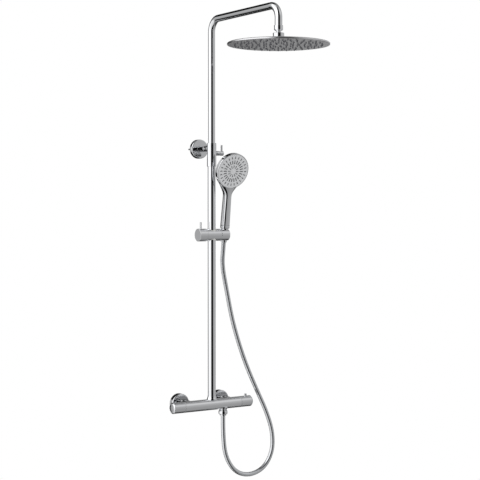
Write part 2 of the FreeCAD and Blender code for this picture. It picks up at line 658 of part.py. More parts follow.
def handset_holder():
    """The outer length of the slider, bored along the handset's axis and slotted for its hose."""
    radius = size("slider_radius")
    left, right = size("holder_seam + washer_gap + 0.1"), size("holder_right")
    start = Vector(left, -size("wall_gap"), size("slider_height"))
    barrel = Part.makeCylinder(radius, right - left, start, AXES["X"])
    rim = [edge for edge in barrel.Edges if edge.Closed and edge.CenterOfMass.x > right - 0.5]
    barrel = barrel.makeChamfer(0.8, rim)
    bore = cone_solid(0.25, -radius * 1.6, radius * 1.6)
    width = size("hose_slot")
    corner = Vector(size("cone_place"), -width / 2, -radius * 2)
    slot = Part.makeBox(right, width, radius * 4, corner)
    turn = FreeCAD.Rotation(AXES["X"], size("handset_lean"))
    slot.Placement = FreeCAD.Placement(Vector(0, start.y, start.z), turn)
    pin = Part.makeCylinder(size("pivot_radius + running_fit"), size("holder_seam + 5.2") - left,
                            start - Vector(0.1, 0, 0), AXES["X"])
    solid_piece("handset_holder", barrel.cut(bore).cut(slot).cut(pin))


# ---------------------------------------------------------------- handset


def face_centre():
    return Vector(size("cone_place"), -size("face_front"), size("face_height"))


def face_way():
    """The direction from the spray face to the dish's back. The face looks forward and down."""
    angle = math.radians(size("face_tilt"))
    return Vector(0, math.cos(angle), math.sin(angle))


def face_place():
    return FreeCAD.Placement(face_centre(), FreeCAD.Rotation(AXES["Z"], face_way()))


def turned_face(corners):
    """A piece of the spray head: (radius, depth behind the face) corners turned about its axis."""
    points = [Vector(radius, 0, depth) for radius, depth in corners]
    outline = Part.Face(Part.makePolygon(points + points[:1]))
    shape = outline.revolve(Vector(), AXES["Z"], 360)
    shape = shape if shape.Volume > 0 else shape.reversed()
    shape.Placement = face_place()
    return shape


def section(station, half_width, half_depth, forward=0.0):
    """A rounded rectangle across the handle, its middle moved forward from the axis."""
    middle = cone_point(station) - Vector(0, forward, 0)
    across, through = AXES["X"], lean().cross(AXES["X"])
    corner = min(size("handle_corner"), half_depth * 0.9)
    slack = corner * (1 - math.sqrt(0.5))
    flats = []
    arcs = []
    for turn in range(4):
        cosine, sine = ((1, 0), (0, 1), (-1, 0), (0, -1))[turn]
        reach, side = (half_width, half_depth) if turn % 2 == 0 else (half_depth, half_width)

        def spot(out, along):
            return middle + across * (out * cosine - along * sine) + through * (out * sine + along * cosine)

        flats.append(Part.LineSegment(spot(reach, corner - side), spot(reach, side - corner)).toShape())
        arcs.append(Part.Arc(spot(reach, side - corner), spot(reach - slack, side - slack),
                             spot(reach - corner, side)).toShape())
    return Part.Wire([edge for pair in zip(flats, arcs) for edge in pair])


def handset_shell():
    """The moulded handle and the dished head behind the spray face, in one hollow shell."""
    radius, rim, crown = size("face_radius"), size("rim_depth"), size("back_crown")
    wide, deep = size("handle_half_width"), size("handle_half_depth")
    wall = size("shell_wall")
    cup = turned_face([(0, rim - wall), (radius - wall, rim - wall), (radius - wall, 1.5), (radius, 1.5),
                       (radius, rim - 3), (radius - 4, rim), (radius * 0.55, rim + crown * 0.8),
                       (0, rim + crown)])
    foot = size("slider_radius + cone_rise + face_gap")
    low_edge = size("face_height - face_radius * cos(face_tilt)")
    neck = (low_edge - size("slider_height")) / lean().z
    outline = [(foot, 0.5, 0.5, 0), (foot + 55, 0, 0, 0), (neck - 24, -0.7, -0.5, 0),
               (neck - 15, 0.8, -0.6, 0.2), (neck - 8, 5, -0.9, 0.9), (neck + 1, 12.2, -1.8, 3.2),
               (neck + 11, 20.2, -2.1, 5.4), (neck + 24, 30, -2.3, 7.4)]
    ovals = [section(station, wide + wider, deep + deeper, forward)
             for station, wider, deeper, forward in outline]
    handle = Part.makeLoft(ovals, True, True)
    outside = cup.fuse(handle)
    inside = turned_face([(0, -1), (radius - wall, -1), (radius - wall, rim - wall), (0, rim - wall)])
    waterway = size("handset_waterway")
    bore = Part.makeCylinder(waterway, neck + 16 - foot, cone_point(foot - 1), lean())
    port = Part.makeCylinder(waterway - 1, 16, cone_point(neck + 12), -AXES["Y"])
    solid_piece("handset_shell", outside.cut([inside, bore, port]))


def dash(radius, length, width, angle, near, far):
    """A short radial bar of the spray pattern, standing through the face."""
    bar = Part.makeBox(length, width, far - near, Vector(radius - length / 2, -width / 2, near))
    bar.rotate(Vector(), AXES["Z"], math.degrees(angle))
    bar.Placement = face_place().multiply(bar.Placement)
    return bar


def spray_bars():
    """Distance, length, width and number of each ring of spray bars."""
    scale = size("face_radius - dial_rim")
    return ((0.85 * scale, 8.4, 2.5, 24), (0.573 * scale, 12.4, 2.6, 24), (0.3 * scale, 3.4, 2.2, 12))


def spray_face():
    """The turning spray dial, the nozzle mat that stands through it, and its centre cap."""
    radius, thickness, wall = size("face_radius - dial_rim"), size("dial_thickness"), size("shell_wall")
    cap = size("face_cap_radius")
    outer = size("face_radius") - wall - size("face_gap")
    fit = size("running_fit")
    dial = turned_face([(cap + fit, 0), (outer - 0.6, 0), (outer, 0.6), (outer, thickness),
                        (cap + fit, thickness)])
    front = thickness + fit
    back = front + 1.4
    mat = turned_face([(cap + 1, front), (radius - 0.5, front), (radius - 0.5, back), (cap + 1, back)])
    holes = []
    tips = []
    for distance, length, width, count in spray_bars():
        for index in range(count):
            angle = 2 * math.pi * index / count
            holes.append(dash(distance, length + 2 * fit, width + 2 * fit, angle, -1, thickness + 1))
            tips.append(dash(distance, length, width, angle, -0.7, thickness + 1))
    solid_piece("handset_spray_dial", dial.cut(holes))
    solid_piece("handset_nozzle_mat", mat.fuse(tips))
    solid_piece("handset_centre_cap", turned_face([(0, -0.4), (cap - 0.6, -0.4), (cap, 0.2),
                                                   (cap, thickness), (0, thickness)]))
    depth = back + 0.1
    solid_piece("handset_spray_plate", turned_face([
        (cap - 2, depth), (outer - 1, depth), (outer - 1, depth + 2), (cap - 2, depth + 2)]))
    solid_piece("handset_dial_bolt", turned_face([
        (0, front), (cap - 2.2, front), (cap - 2.2, depth + 2.1), (cap, depth + 2.1),
        (cap, depth + 3.6), (0, depth + 3.6)]))


def cone_nut():
    """The hose's conical nut: it screws to the handset and rests in the holder's bore."""
    foot, top = -size("slider_radius + cone_drop"), size("slider_radius + cone_rise")
    start = cone_point(foot - 1)
    waterway = size("handset_waterway")
    bore = Part.makeCylinder(size("hose_radius + seat_gap"), 16, start, lean())
    through = Part.makeCylinder(waterway, top - foot + 2, start, lean())
    solid_piece("hose_cone_nut", cone_solid(0, foot, top).cut([bore, through]))
    ferrule = Part.makeCylinder(size("hose_radius"), 14, cone_point(foot + 0.5), lean())
    hollow = Part.makeCylinder(waterway - 1, 16, cone_point(foot), lean())
    solid_piece("hose_upper_ferrule", ferrule.cut(hollow))


# ---------------------------------------------------------------- hose


# The hose's route, from the outlet under the valve to the cone nut, in millimetres.
HOSE_ROUTE = [
    (42.0, -85.0, -39.0),
    (42.0, -85.0, -112.0),
    (51.0, -88.0, -177.0),
    (86.0, -90.0, -227.0),
    (140.0, -91.0, -243.0),
    (196.0, -91.0, -225.0),
    (229.0, -91.0, -175.0),
    (230.5, -90.0, -110.0),
    (207.0, -88.0, -40.0),
    (172.0, -86.0, 30.0),
    (137.0, -83.0, 104.0),
    (107.0, -79.5, 183.0),
    (81.0, -76.0, 270.0),
    (64.0, -72.5, 360.0),
]


def bent_tube(points, radius):
    """A tube of straight runs joined by tangent arcs, each as large as its two runs allow."""
    edges = []
    start = points[0]
    turns = []
    for before, corner, after in zip(points, points[1:], points[2:]):
        back, ahead = before - corner, after - corner
        half = (math.pi - back.getAngle(ahead)) / 2
        setback = 0.45 * min(back.Length, ahead.Length)
        turns.append(setback / math.tan(half))
        back.normalize()
        ahead.normalize()
        first, last = corner + back * setback, corner + ahead * setback
        inward = back + ahead
        inward.normalize()
        middle = corner + inward * (turns[-1] / math.cos(half) - turns[-1])
        edges.append(Part.LineSegment(start, first).toShape())
        edges.append(Part.Arc(first, middle, last).toShape())
        start = last
    edges.append(Part.LineSegment(start, points[-1]).toShape())
    path = Part.Wire(edges)
    profile = Part.Wire([Part.Circle(points[0], points[1] - points[0], radius).toShape()])
    tube = path.makePipeShell([profile], True, False)
    share = tube.Volume / (math.pi * radius ** 2 * path.Length)
    print("hose radii:", [round(turn) for turn in turns])
    print("hose length:", round(path.Length), "share of its volume:", round(share, 4))
    return tube


def hose():
    end = cone_point(-size("slider_radius + cone_drop"))
    approach = cone_point(-size("slider_radius + cone_drop") - 75)
    points = [Vector(*point) for point in HOSE_ROUTE] + [approach, end]
    solid_piece("shower_hose", bent_tube(points, size("hose_radius")))


def hose_outlet():
    """Check valve in the body's outlet, washer, and the polished nut that holds the hose's foot."""
    place_at = ("hose_place", "-wall_gap", "0")
    bore = "hose_radius + seat_gap"
    top = "-outlet_boss_drop - face_gap"
    foot = "-outlet_nut_bottom"
    keep("hose_check_valve", ring("waterway_radius - 5", "check_valve_radius", "check_valve_length - 0.4",
                                  ("hose_place", "-wall_gap", "-outlet_boss_drop + 0.2")))
    keep("hose_outlet_nut", turned([
        (bore, foot), ("outlet_skirt_radius - 1", foot), ("outlet_skirt_radius", foot + " + 1"),
        ("outlet_skirt_radius", "-outlet_nut_round - 1"), ("outlet_nut_radius - 2", "-outlet_nut_round"),
        ("outlet_nut_radius", "-outlet_nut_round + 2"), ("outlet_nut_radius", top + " - 2"),
        ("outlet_nut_radius - 2", top), (bore, top),
    ], place_at))
    keep("hose_washer", ring("waterway_radius - 4", "hose_radius", "1.5",
                             ("hose_place", "-wall_gap", "-outlet_boss_drop - 1.8")))
    keep("hose_lower_ferrule", ring("waterway_radius - 3", "hose_radius",
                                    "outlet_nut_bottom - outlet_boss_drop - 2.2",
                                    ("hose_place", "-wall_gap", "-outlet_nut_bottom + 0.1")))


valve_body()
cartridge("thermostatic_cartridge", 1)
cartridge("diverter_cartridge", -1)
spindle("thermostat_spindle", 1)
spindle("diverter_spindle", -1)
knob("temperature_knob", 1, True)
knob("flow_knob", -1, False)
knob_cap("temperature_knob_cap", 1)
knob_cap("flow_knob_cap", -1)
knob_screw("temperature_knob_screw", 1)
knob_screw("flow_knob_screw", -1)
stop_button()
inlet("left", "-")
inlet("right", "")
riser()
overhead_pipe()
riser_guides()
wall_bracket()
bracket_lock()
ball_joint()
friction_ring()
joint_nut()
rain_head()
brake_bush()
slider_body()
holder_pivot()
clamp_knob()
handset_holder()
handset_shell()
spray_face()
cone_nut()
hose()
hose_outlet()

doc.removeObject(gauge.Name)
doc.recompute()

for item in doc.Objects:
    if "Invalid" in item.State or "Error" in item.State:
        raise RuntimeError(f"{item.Label} failed: {item.State}")
for label, piece in nodes.items():
    if piece.Shape.isNull() or not piece.Shape.isValid() or piece.Shape.Volume <= 0:
        raise RuntimeError(f"{label} has no valid shape")

os.makedirs("parts", exist_ok=True)
for label, piece in nodes.items():
    piece.Shape.exportStep(f"parts/{label}.step")
print(len(nodes), "sub-parts written")
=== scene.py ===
import json
import math
import bpy
import numpy as np
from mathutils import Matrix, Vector


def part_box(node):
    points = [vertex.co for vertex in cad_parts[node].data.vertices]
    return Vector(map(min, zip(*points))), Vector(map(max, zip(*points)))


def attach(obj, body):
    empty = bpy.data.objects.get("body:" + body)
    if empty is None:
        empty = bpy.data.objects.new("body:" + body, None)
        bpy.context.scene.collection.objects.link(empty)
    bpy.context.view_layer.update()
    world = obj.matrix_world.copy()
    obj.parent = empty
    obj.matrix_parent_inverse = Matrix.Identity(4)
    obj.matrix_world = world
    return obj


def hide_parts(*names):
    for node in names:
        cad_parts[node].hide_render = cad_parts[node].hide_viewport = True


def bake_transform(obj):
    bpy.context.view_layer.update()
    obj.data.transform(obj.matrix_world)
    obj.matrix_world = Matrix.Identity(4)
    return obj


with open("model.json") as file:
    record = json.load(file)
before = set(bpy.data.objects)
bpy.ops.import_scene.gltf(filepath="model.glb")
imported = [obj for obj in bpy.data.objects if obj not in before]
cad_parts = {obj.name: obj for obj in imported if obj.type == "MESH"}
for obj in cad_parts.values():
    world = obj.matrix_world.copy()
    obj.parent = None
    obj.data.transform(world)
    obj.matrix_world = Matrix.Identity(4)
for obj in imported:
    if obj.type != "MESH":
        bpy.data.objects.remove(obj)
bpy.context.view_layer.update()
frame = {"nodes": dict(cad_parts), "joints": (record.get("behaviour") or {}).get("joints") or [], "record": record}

# The wall is the plane y = 0 and the column stands in front of it, towards -y. Shapes are worked
# out in millimetres, and a mesh is made in metres.
MM = 0.001
X, Y, Z = np.eye(3)


# ---------------------------------------------------------------- what the frame says


class Round:
    """A turned CAD piece: its centre, its outer radius and its two ends along an axis."""

    def __init__(self, node, axis):
        low, high = (np.array(corner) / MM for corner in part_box(node))
        self.along = "XYZ".index(axis)
        across = [index for index in range(3) if index != self.along]
        self.axis = np.eye(3)[self.along]
        self.low, self.high = low[self.along], high[self.along]
        self.radius = max(high[across] - low[across]) / 2
        self.centre = (low + high) / 2
        self.centre[self.along] = 0.0


def joint(name):
    return next(item for item in frame["joints"] if item["name"] == name)


# ---------------------------------------------------------------- making meshes


def mesh_piece(name, vertices, faces, normals=None):
    """An object at the origin from points in millimetres, smooth, with the normals it is given."""
    mesh = bpy.data.meshes.new(name)
    mesh.from_pydata((np.asarray(vertices) * MM).tolist(), [], faces)
    mesh.polygons.foreach_set("use_smooth", np.ones(len(mesh.polygons), bool))
    mesh.update()
    if normals is not None:
        mesh.normals_split_custom_set_from_vertices(np.asarray(normals).tolist())
    piece = bpy.data.objects.new(name, mesh)
    bpy.context.scene.collection.objects.link(piece)
    return piece


def grid(rings, looped=False):
    """Faces over rings of points (ring, place, xyz), closed round each ring. A ring that has shrunk
    to a point is one vertex, so an end on the axis is a fan of triangles."""
    count, around = rings.shape[:2]
    number = np.arange(count * around).reshape(count, around)
    shrunk = np.linalg.norm(rings - rings[:, :1], axis=2).max(axis=1) < 1e-6
    number[shrunk] = number[shrunk][:, :1]
    below = number if looped else number[:-1]
    above = np.roll(number, -1, axis=0) if looped else number[1:]
    quads = np.stack([below, np.roll(below, -1, 1), np.roll(above, -1, 1), above], axis=-1).reshape(-1, 4)
    from_point = quads[:, 0] == quads[:, 1]
    to_point = quads[:, 2] == quads[:, 3]
    whole = quads[~from_point & ~to_point]
    fans = np.concatenate([quads[from_point & ~to_point][:, [0, 2, 3]],
                           quads[to_point & ~from_point][:, [0, 1, 2]]])
    used = np.unique(number)
    renumber = np.full(count * around, -1)
    renumber[used] = np.arange(len(used))
    faces = renumber[whole].tolist() + renumber[fans].tolist()
    return used, faces


def skin(name, rings, normals, looped=False):
    """One smooth surface through rings of points with their own normals."""
    used, faces = grid(rings, looped)
    return mesh_piece(name, rings.reshape(-1, 3)[used], faces, normals.reshape(-1, 3)[used])


def rounded(corners, closed=False, steps=5):
    """An outline of (radius, station, fillet) corners, each fillet an arc tangent to both sides.
    Gives the points and the outward normals; the outline runs with its outside on the right."""
    spots = np.array([corner[:2] for corner in corners], float)
    points, normals = [], []
    for index, (here, corner) in enumerate(zip(spots, corners)):
        fillet = corner[2] if len(corner) > 2 else 0.12
        before = here - spots[index - 1]
        after = spots[(index + 1) % len(spots)] - here
        ends = not closed and index in (0, len(spots) - 1)
        if ends:
            side = after if index == 0 else before
            points.append(here)
            normals.append(np.array([side[1], -side[0]]) / np.linalg.norm(side))
            continue
        first, second = before / np.linalg.norm(before), after / np.linalg.norm(after)
        turn = math.atan2(first[0] * second[1] - first[1] * second[0], first @ second)
        setback = min(fillet * abs(math.tan(turn / 2)), 0.45 * np.linalg.norm(before),
                      0.45 * np.linalg.norm(after))
        radius = setback / max(abs(math.tan(turn / 2)), 1e-6)
        start = here - first * setback
        left = np.array([-first[1], first[0]]) * math.copysign(1, turn)
        for part in np.linspace(0, turn, steps + 1 if abs(turn) > 0.03 else 2):
            heading = np.array([first[0] * math.cos(part) - first[1] * math.sin(part),
                                first[0] * math.sin(part) + first[1] * math.cos(part)])
            inward = np.array([-heading[1], heading[0]]) * math.copysign(1, turn)
            points.append(start + left * radius - inward * radius)
            normals.append(np.array([heading[1], -heading[0]]))
    return np.array(points), np.array(normals)


def basis(direction):
    """Two unit vectors that make a right-handed set with the direction."""
    direction = np.asarray(direction, float) / np.linalg.norm(direction)
    helper = {0: Y, 1: Z, 2: X}[int(np.argmax(np.abs(direction)))]
    first = helper - direction * (helper @ direction)
    first /= np.linalg.norm(first)
    return first, np.cross(direction, first), direction


def revolve(points, normals, centre, axis, segments):
    """The outline turned about the axis: radius times (cos, sin), and the station along the axis."""
    first, second, along = basis(axis)
    angle = np.linspace(0, 2 * np.pi, segments, endpoint=False)
    ray = np.cos(angle)[:, None] * first + np.sin(angle)[:, None] * second
    rings = centre + points[:, 0, None, None] * ray + points[:, 1, None, None] * along
    facing = normals[:, 0, None, None] * ray + normals[:, 1, None, None] * along
    return rings, facing


def lathe(name, corners, centre, axis, segments=96, closed=False):
    """A turned piece with every corner rounded."""
    points, normals = rounded(corners, closed)
    rings, facing = revolve(points, normals, centre, axis, segments)
    return skin(name, rings, facing, closed)


def carved(piece, *tools):
    """The piece with other closed pieces cut out of it, its sharp edges kept sharp."""
    for tool in tools:
        cutting = piece.modifiers.new("cut", "BOOLEAN")
        cutting.operation = "DIFFERENCE"
        cutting.solver = "EXACT"
        cutting.object = tool
    bpy.context.view_layer.update()
    solved = piece.evaluated_get(bpy.context.evaluated_depsgraph_get())
    mesh = bpy.data.meshes.new_from_object(solved)
    piece.modifiers.clear()
    piece.data = mesh
    for tool in tools:
        bpy.data.objects.remove(tool)
    mesh.set_sharp_from_angle(angle=math.radians(32))
    return piece


def tube(name, path, tangents, radius, wall=1.0, segments=64):
    """A round tube carried along a straight or bent path: outer skin, flat ends and inner skin."""
    first = np.cross(tangents, X)
    weak = np.linalg.norm(first, axis=1) < 1e-3
    first[weak] = Y
    first /= np.linalg.norm(first, axis=1)[:, None]
    second = np.cross(tangents, first)
    angle = np.linspace(0, 2 * np.pi, segments, endpoint=False)
    ray = np.cos(angle)[:, None] * first[:, None] + np.sin(angle)[:, None] * second[:, None]
    outside = path[:, None] + ray * radius
    inside = path[:, None] + ray * (radius - wall)
    rings = np.concatenate([outside, inside[::-1]])
    facing = np.concatenate([ray, -ray[::-1]])
    return skin(name, rings, facing, looped=True)


def merged(name, *pieces):
    """Several meshes as one piece, each keeping its own normals."""
    vertices, faces, normals, start = [], [], [], 0
    for piece in pieces:
        mesh = piece.data
        spots = np.empty(len(mesh.vertices) * 3)
        mesh.vertices.foreach_get("co", spots)
        facing = np.empty(len(mesh.loops) * 3)
        mesh.corner_normals.foreach_get("vector", facing)
        corner = np.empty(len(mesh.loops), int)
        mesh.loops.foreach_get("vertex_index", corner)
        own = np.zeros((len(mesh.vertices), 3))
        own[corner] = facing.reshape(-1, 3)
        vertices.append(spots.reshape(-1, 3) / MM)
        normals.append(own)
        faces += [[number + start for number in face.vertices] for face in mesh.polygons]
        start += len(mesh.vertices)
        bpy.data.objects.remove(piece)
    return mesh_piece(name, np.concatenate(vertices), faces, np.concatenate(normals))


# ---------------------------------------------------------------- materials


def linear(colour):
    """An sRGB hex colour as linear red, green, blue and alpha."""
    parts = [int(colour[index:index + 2], 16) / 255 for index in (1, 3, 5)]
    return [part / 12.92 if part <= 0.04045 else ((part + 0.055) / 1.055) ** 2.4 for part in parts] + [1.0]


def add(tree, kind, settings=(), **links):
    """Add a node, set its properties and sockets, and link sockets to other nodes' outputs."""
    item = tree.nodes.new(kind)
    for name, value in dict(settings).items():
        if hasattr(item, name) and name not in item.inputs:
            setattr(item, name, value)
        else:
            item.inputs[name].default_value = value
    for name, source in links.items():
        tree.links.new(source, item.inputs[name.replace("_", " ")])
    return item


def material(name, shader_settings):
    """A material with one Principled shader, ready for its pattern."""
    made = bpy.data.materials.new(name)
    made.use_nodes = True
    tree = made.node_tree
    tree.nodes.clear()
    shader = add(tree, "ShaderNodeBsdfPrincipled", shader_settings)
    end = add(tree, "ShaderNodeOutputMaterial")
    tree.links.new(shader.outputs["BSDF"], end.inputs["Surface"])
    place = add(tree, "ShaderNodeTexCoord").outputs["Object"]
    return made, tree, shader, place


def chrome(name, tint, roughness, ripple):
    """Bright nickel-chrome plate. Water marks and wiping give it slow changes of gloss, and the
    polished base under it isn't quite flat, so its reflections waver a little."""
    made, tree, shader, place = material(name, {"Base Color": linear(tint), "Metallic": 1.0})
    marks = add(tree, "ShaderNodeTexNoise", {"Scale": 1 / 0.045, "Detail": 3.0}, Vector=place)
    gloss = add(tree, "ShaderNodeMapRange", {"From Min": 0.35, "From Max": 0.75, "To Min": roughness,
                                             "To Max": roughness * 2.2}, Value=marks.outputs["Fac"])
    tree.links.new(gloss.outputs["Result"], shader.inputs["Roughness"])
    swell = add(tree, "ShaderNodeTexNoise", {"Scale": 1 / 0.03, "Detail": 1.0}, Vector=place)
    bump = add(tree, "ShaderNodeBump", {"Strength": ripple, "Distance": 0.0002}, Height=swell.outputs["Fac"])
    tree.links.new(bump.outputs["Normal"], shader.inputs["Normal"])
    return made


def brushed_steel(name, tint, centre):
    """Stainless sheet brushed in circles about the head's axis: fine rings of changing gloss."""
    made, tree, shader, place = material(name, {"Base Color": linear(tint), "Metallic": 1.0})
    centred = add(tree, "ShaderNodeMapping", {"Location": tuple(-centre * MM)}, Vector=place)
    apart = add(tree, "ShaderNodeSeparateXYZ", Vector=centred.outputs["Vector"])
    flat = add(tree, "ShaderNodeCombineXYZ", X=apart.outputs["X"], Y=apart.outputs["Y"])
    radius = add(tree, "ShaderNodeVectorMath", {"operation": "LENGTH"})
    tree.links.new(flat.outputs["Vector"], radius.inputs[0])
    # Real brush lines are a few hundredths of a millimetre apart; these are 0.6 mm, so that they show.
    lines = add(tree, "ShaderNodeTexNoise", {"noise_dimensions": "1D", "Scale": 1 / 0.0006, "Detail": 4.0},
                W=radius.outputs["Value"])
    gloss = add(tree, "ShaderNodeMapRange", {"To Min": 0.22, "To Max": 0.38}, Value=lines.outputs["Fac"])
    tree.links.new(gloss.outputs["Result"], shader.inputs["Roughness"])
    bump = add(tree, "ShaderNodeBump", {"Strength": 0.25, "Distance": 0.00005}, Height=lines.outputs["Fac"])
    tree.links.new(bump.outputs["Normal"], shader.inputs["Normal"])
    return made


def moulded(name, colour, darker, roughness, grain=0.0006, specular=0.5, metallic=0.0):
    """A moulded plastic or rubber with the fine grain of its mould and slight colour variation."""
    made, tree, shader, place = material(name, {"Metallic": metallic, "Specular IOR Level": specular})
    patch = add(tree, "ShaderNodeTexNoise", {"Scale": 1 / 0.02, "Detail": 4.0}, Vector=place)
    blend = add(tree, "ShaderNodeMix", {"data_type": "RGBA"}, Factor=patch.outputs["Fac"])
    blend.inputs[6].default_value = linear(colour)
    blend.inputs[7].default_value = linear(darker)
    tree.links.new(blend.outputs[2], shader.inputs["Base Color"])
    fine = add(tree, "ShaderNodeTexNoise", {"Scale": 1 / grain, "Detail": 2.0}, Vector=place)
    gloss = add(tree, "ShaderNodeMapRange", {"To Min": roughness * 0.85, "To Max": roughness * 1.2},
                Value=fine.outputs["Fac"])
    tree.links.new(gloss.outputs["Result"], shader.inputs["Roughness"])
    bump = add(tree, "ShaderNodeBump", {"Strength": 0.15, "Distance": 0.00004}, Height=fine.outputs["Fac"])
    tree.links.new(bump.outputs["Normal"], shader.inputs["Normal"])
    return made


HEAD = Round("head_nozzle_plate", "Z")
PLATED_BRASS = chrome("plated brass", "#f2f3f5", 0.03, 0.10)
PLATED_TUBE = chrome("plated tube", "#f2f3f5", 0.02, 0.05)
PLATED_ABS = chrome("plated abs", "#eeeff1", 0.02, 0.06)
BRUSHED = brushed_steel("brushed stainless", "#e6e6e8", HEAD.centre)
SILICONE = moulded("grey silicone", "#66666a", "#58585c", 0.6)
SATIN_FACE = moulded("satin abs face", "#c9cacb", "#c2c3c5", 0.32)
FACE_JETS = moulded("face silicone", "#4c4d4f", "#434446", 0.5)
BRASS = moulded("machined brass", "#c9a45c", "#b9924a", 0.3, metallic=1.0)
RUBBER = moulded("black rubber", "#1a1a1b", "#121213", 0.7)
NYLON = moulded("white nylon", "#dcdcd6", "#d2d2cb", 0.45)
ZINC = moulded("zinc plate", "#a9abad", "#9a9c9f", 0.35, metallic=1.0)


def hose_material():
    """Clear PVC skin over a silver lining: smooth and glossy, with fine changes of gloss."""
    made, tree, shader, place = material("silver hose", {"Base Color": linear("#dfe1e4"), "Metallic": 0.92,
                                                         "Coat Weight": 0.6, "Coat Roughness": 0.05})
    streak = add(tree, "ShaderNodeTexNoise", {"Scale": 1 / 0.004, "Detail": 2.0}, Vector=place)
    gloss = add(tree, "ShaderNodeMapRange", {"To Min": 0.05, "To Max": 0.1}, Value=streak.outputs["Fac"])
    tree.links.new(gloss.outputs["Result"], shader.inputs["Roughness"])
    return made


HOSE = hose_material()

SLOT_MATERIALS = {
    "chromed_brass": PLATED_BRASS, "chromed_tube": PLATED_TUBE, "chromed_abs": PLATED_ABS,
    "brushed_head": BRUSHED, "grey_silicone": SILICONE, "satin_face": SATIN_FACE, "stop_stud": ZINC,
    "hose_skin": HOSE, "bare_brass": BRASS, "black_rubber": RUBBER, "white_nylon": NYLON,
    "steel_fastener": ZINC,
}
for slot_name, slot_material in SLOT_MATERIALS.items():
    for part in frame["record"]["subparts"]:
        if part["material_slot"] == slot_name:
            cad = frame["nodes"][part["node"]]
            cad.data.materials.clear()
            cad.data.materials.append(slot_material)


def finish(piece, finish_material, body, slot_name, *nodes):
    """Give a piece its material and its body, and hide the CAD nodes it stands for. The slot name is not used."""
    piece.data.materials.append(finish_material)
    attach(piece, body)
    if nodes:
        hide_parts(*nodes)
    return piece


# ---------------------------------------------------------------- camera

CAMERA_PLACE = Vector((-2.0639, -3.4852, 0.6476))
CAMERA_TURN = math.radians(32.55)
CAMERA_DIP = math.radians(1.78)
SENSOR_WIDTH, LENS = 36, 94.03

camera = bpy.data.objects.new("camera", bpy.data.cameras.new("camera"))
bpy.context.scene.collection.objects.link(camera)
camera.location = CAMERA_PLACE
aim = Vector((math.sin(CAMERA_TURN) * math.cos(CAMERA_DIP), math.cos(CAMERA_TURN) * math.cos(CAMERA_DIP),
              -math.sin(CAMERA_DIP)))
camera.rotation_euler = aim.to_track_quat("-Z", "Y").to_euler()
camera.data.sensor_width = SENSOR_WIDTH
camera.data.lens = LENS
camera.data.clip_end = 50
bpy.context.scene.camera = camera

# ---------------------------------------------------------------- hose

# The route, from the outlet under the valve to the cone nut, in metres.
HOSE_ROUTE = [
    (0.0420, -0.0850, -0.0390), (0.0420, -0.0850, -0.1120), (0.0510, -0.0880, -0.1770),
    (0.0860, -0.0900, -0.2270), (0.1400, -0.0910, -0.2430), (0.1960, -0.0910, -0.2250),
    (0.2290, -0.0910, -0.1750), (0.2305, -0.0900, -0.1100), (0.2070, -0.0880, -0.0400),
    (0.1720, -0.0860, 0.0300), (0.1370, -0.0830, 0.1040), (0.1070, -0.0795, 0.1830),
    (0.0810, -0.0760, 0.2700), (0.0640, -0.0725, 0.3600),
]
LEAN = np.array(joint("handset_lift")["axis"], float)
LEAN /= np.linalg.norm(LEAN)
SLIDER_AXIS = Round("slider_clamp_knob", "X")
CONE_X = 47.0
HOSE_RADIUS = 7.0
HOSE_SIDES = 40


def cone_point(station):
    """The point of the handset's leaning axis at a distance above the slider's axis, in mm."""
    return np.array([CONE_X, SLIDER_AXIS.centre[1], SLIDER_AXIS.centre[2]]) + LEAN * station


CONE_FOOT, CONE_TOP = -24.0, 21.0
CONE_FOOT_RADIUS, CONE_TOP_RADIUS = 9.3, 12.0
TAIL_STATIONS = (-70.0, -47.0, CONE_FOOT)

route = [Vector(point) for point in HOSE_ROUTE]
route.append(Vector(cone_point(CONE_FOOT - 75) * MM))
route.append(Vector(cone_point(TAIL_STATIONS[0]) * MM))


def nurbs_line(points):
    """The smooth line whose control points are the route, read back as closely spaced points, in mm."""
    curve = bpy.data.curves.new("route", "CURVE")
    curve.dimensions = "3D"
    curve.resolution_u = 24
    spline = curve.splines.new("NURBS")
    spline.points.add(len(points) - 1)
    for control, spot in zip(spline.points, points):
        control.co = (*spot, 1.0)
    spline.order_u = 3
    spline.use_endpoint_u = True
    carrier = bpy.data.objects.new("route", curve)
    mesh = bpy.data.meshes.new_from_object(carrier)
    line = np.array([vertex.co for vertex in mesh.vertices]) / MM
    bpy.data.objects.remove(carrier)
    return line


def hose_tube(name, line, radius=HOSE_RADIUS):
    """A tube round a line that never runs along y, with flat ends rounded over at their edge."""
    tangents = np.gradient(line, axis=0)
    tangents /= np.linalg.norm(tangents, axis=1)[:, None]
    first = np.cross(tangents, Y)
    first /= np.linalg.norm(first, axis=1)[:, None]
    second = np.cross(tangents, first)
    angle = np.linspace(0, 2 * np.pi, HOSE_SIDES, endpoint=False)
    ray = np.cos(angle)[:, None] * first[:, None] + np.sin(angle)[:, None] * second[:, None]
    rings = line[:, None] + ray * radius
    ends = [np.repeat(line[index][None, None], HOSE_SIDES, axis=1) for index in (0, -1)]
    rings = np.concatenate([ends[0], rings, ends[1]])
    facing = np.concatenate([ray[:1] - tangents[0], ray, ray[-1:] + tangents[-1]])
    return skin(name, rings, facing)


hose_line = nurbs_line(route)
hose = hose_tube("shower_hose_main", hose_line)
upper_hose = hose_tube("shower_hose_neck", np.linspace(cone_point(TAIL_STATIONS[0]),
                                                       cone_point(TAIL_STATIONS[1]), 12))
tail_hose = hose_tube("shower_hose_tail", np.linspace(cone_point(TAIL_STATIONS[1]),
                                                      cone_point(CONE_FOOT + 0.5), 12))
for length_of_hose in (hose, upper_hose, tail_hose):
    length_of_hose.data.materials.append(HOSE)
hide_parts("shower_hose")
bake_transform(hose)
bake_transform(upper_hose)
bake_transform(tail_hose)

# ---------------------------------------------------------------- bar valve

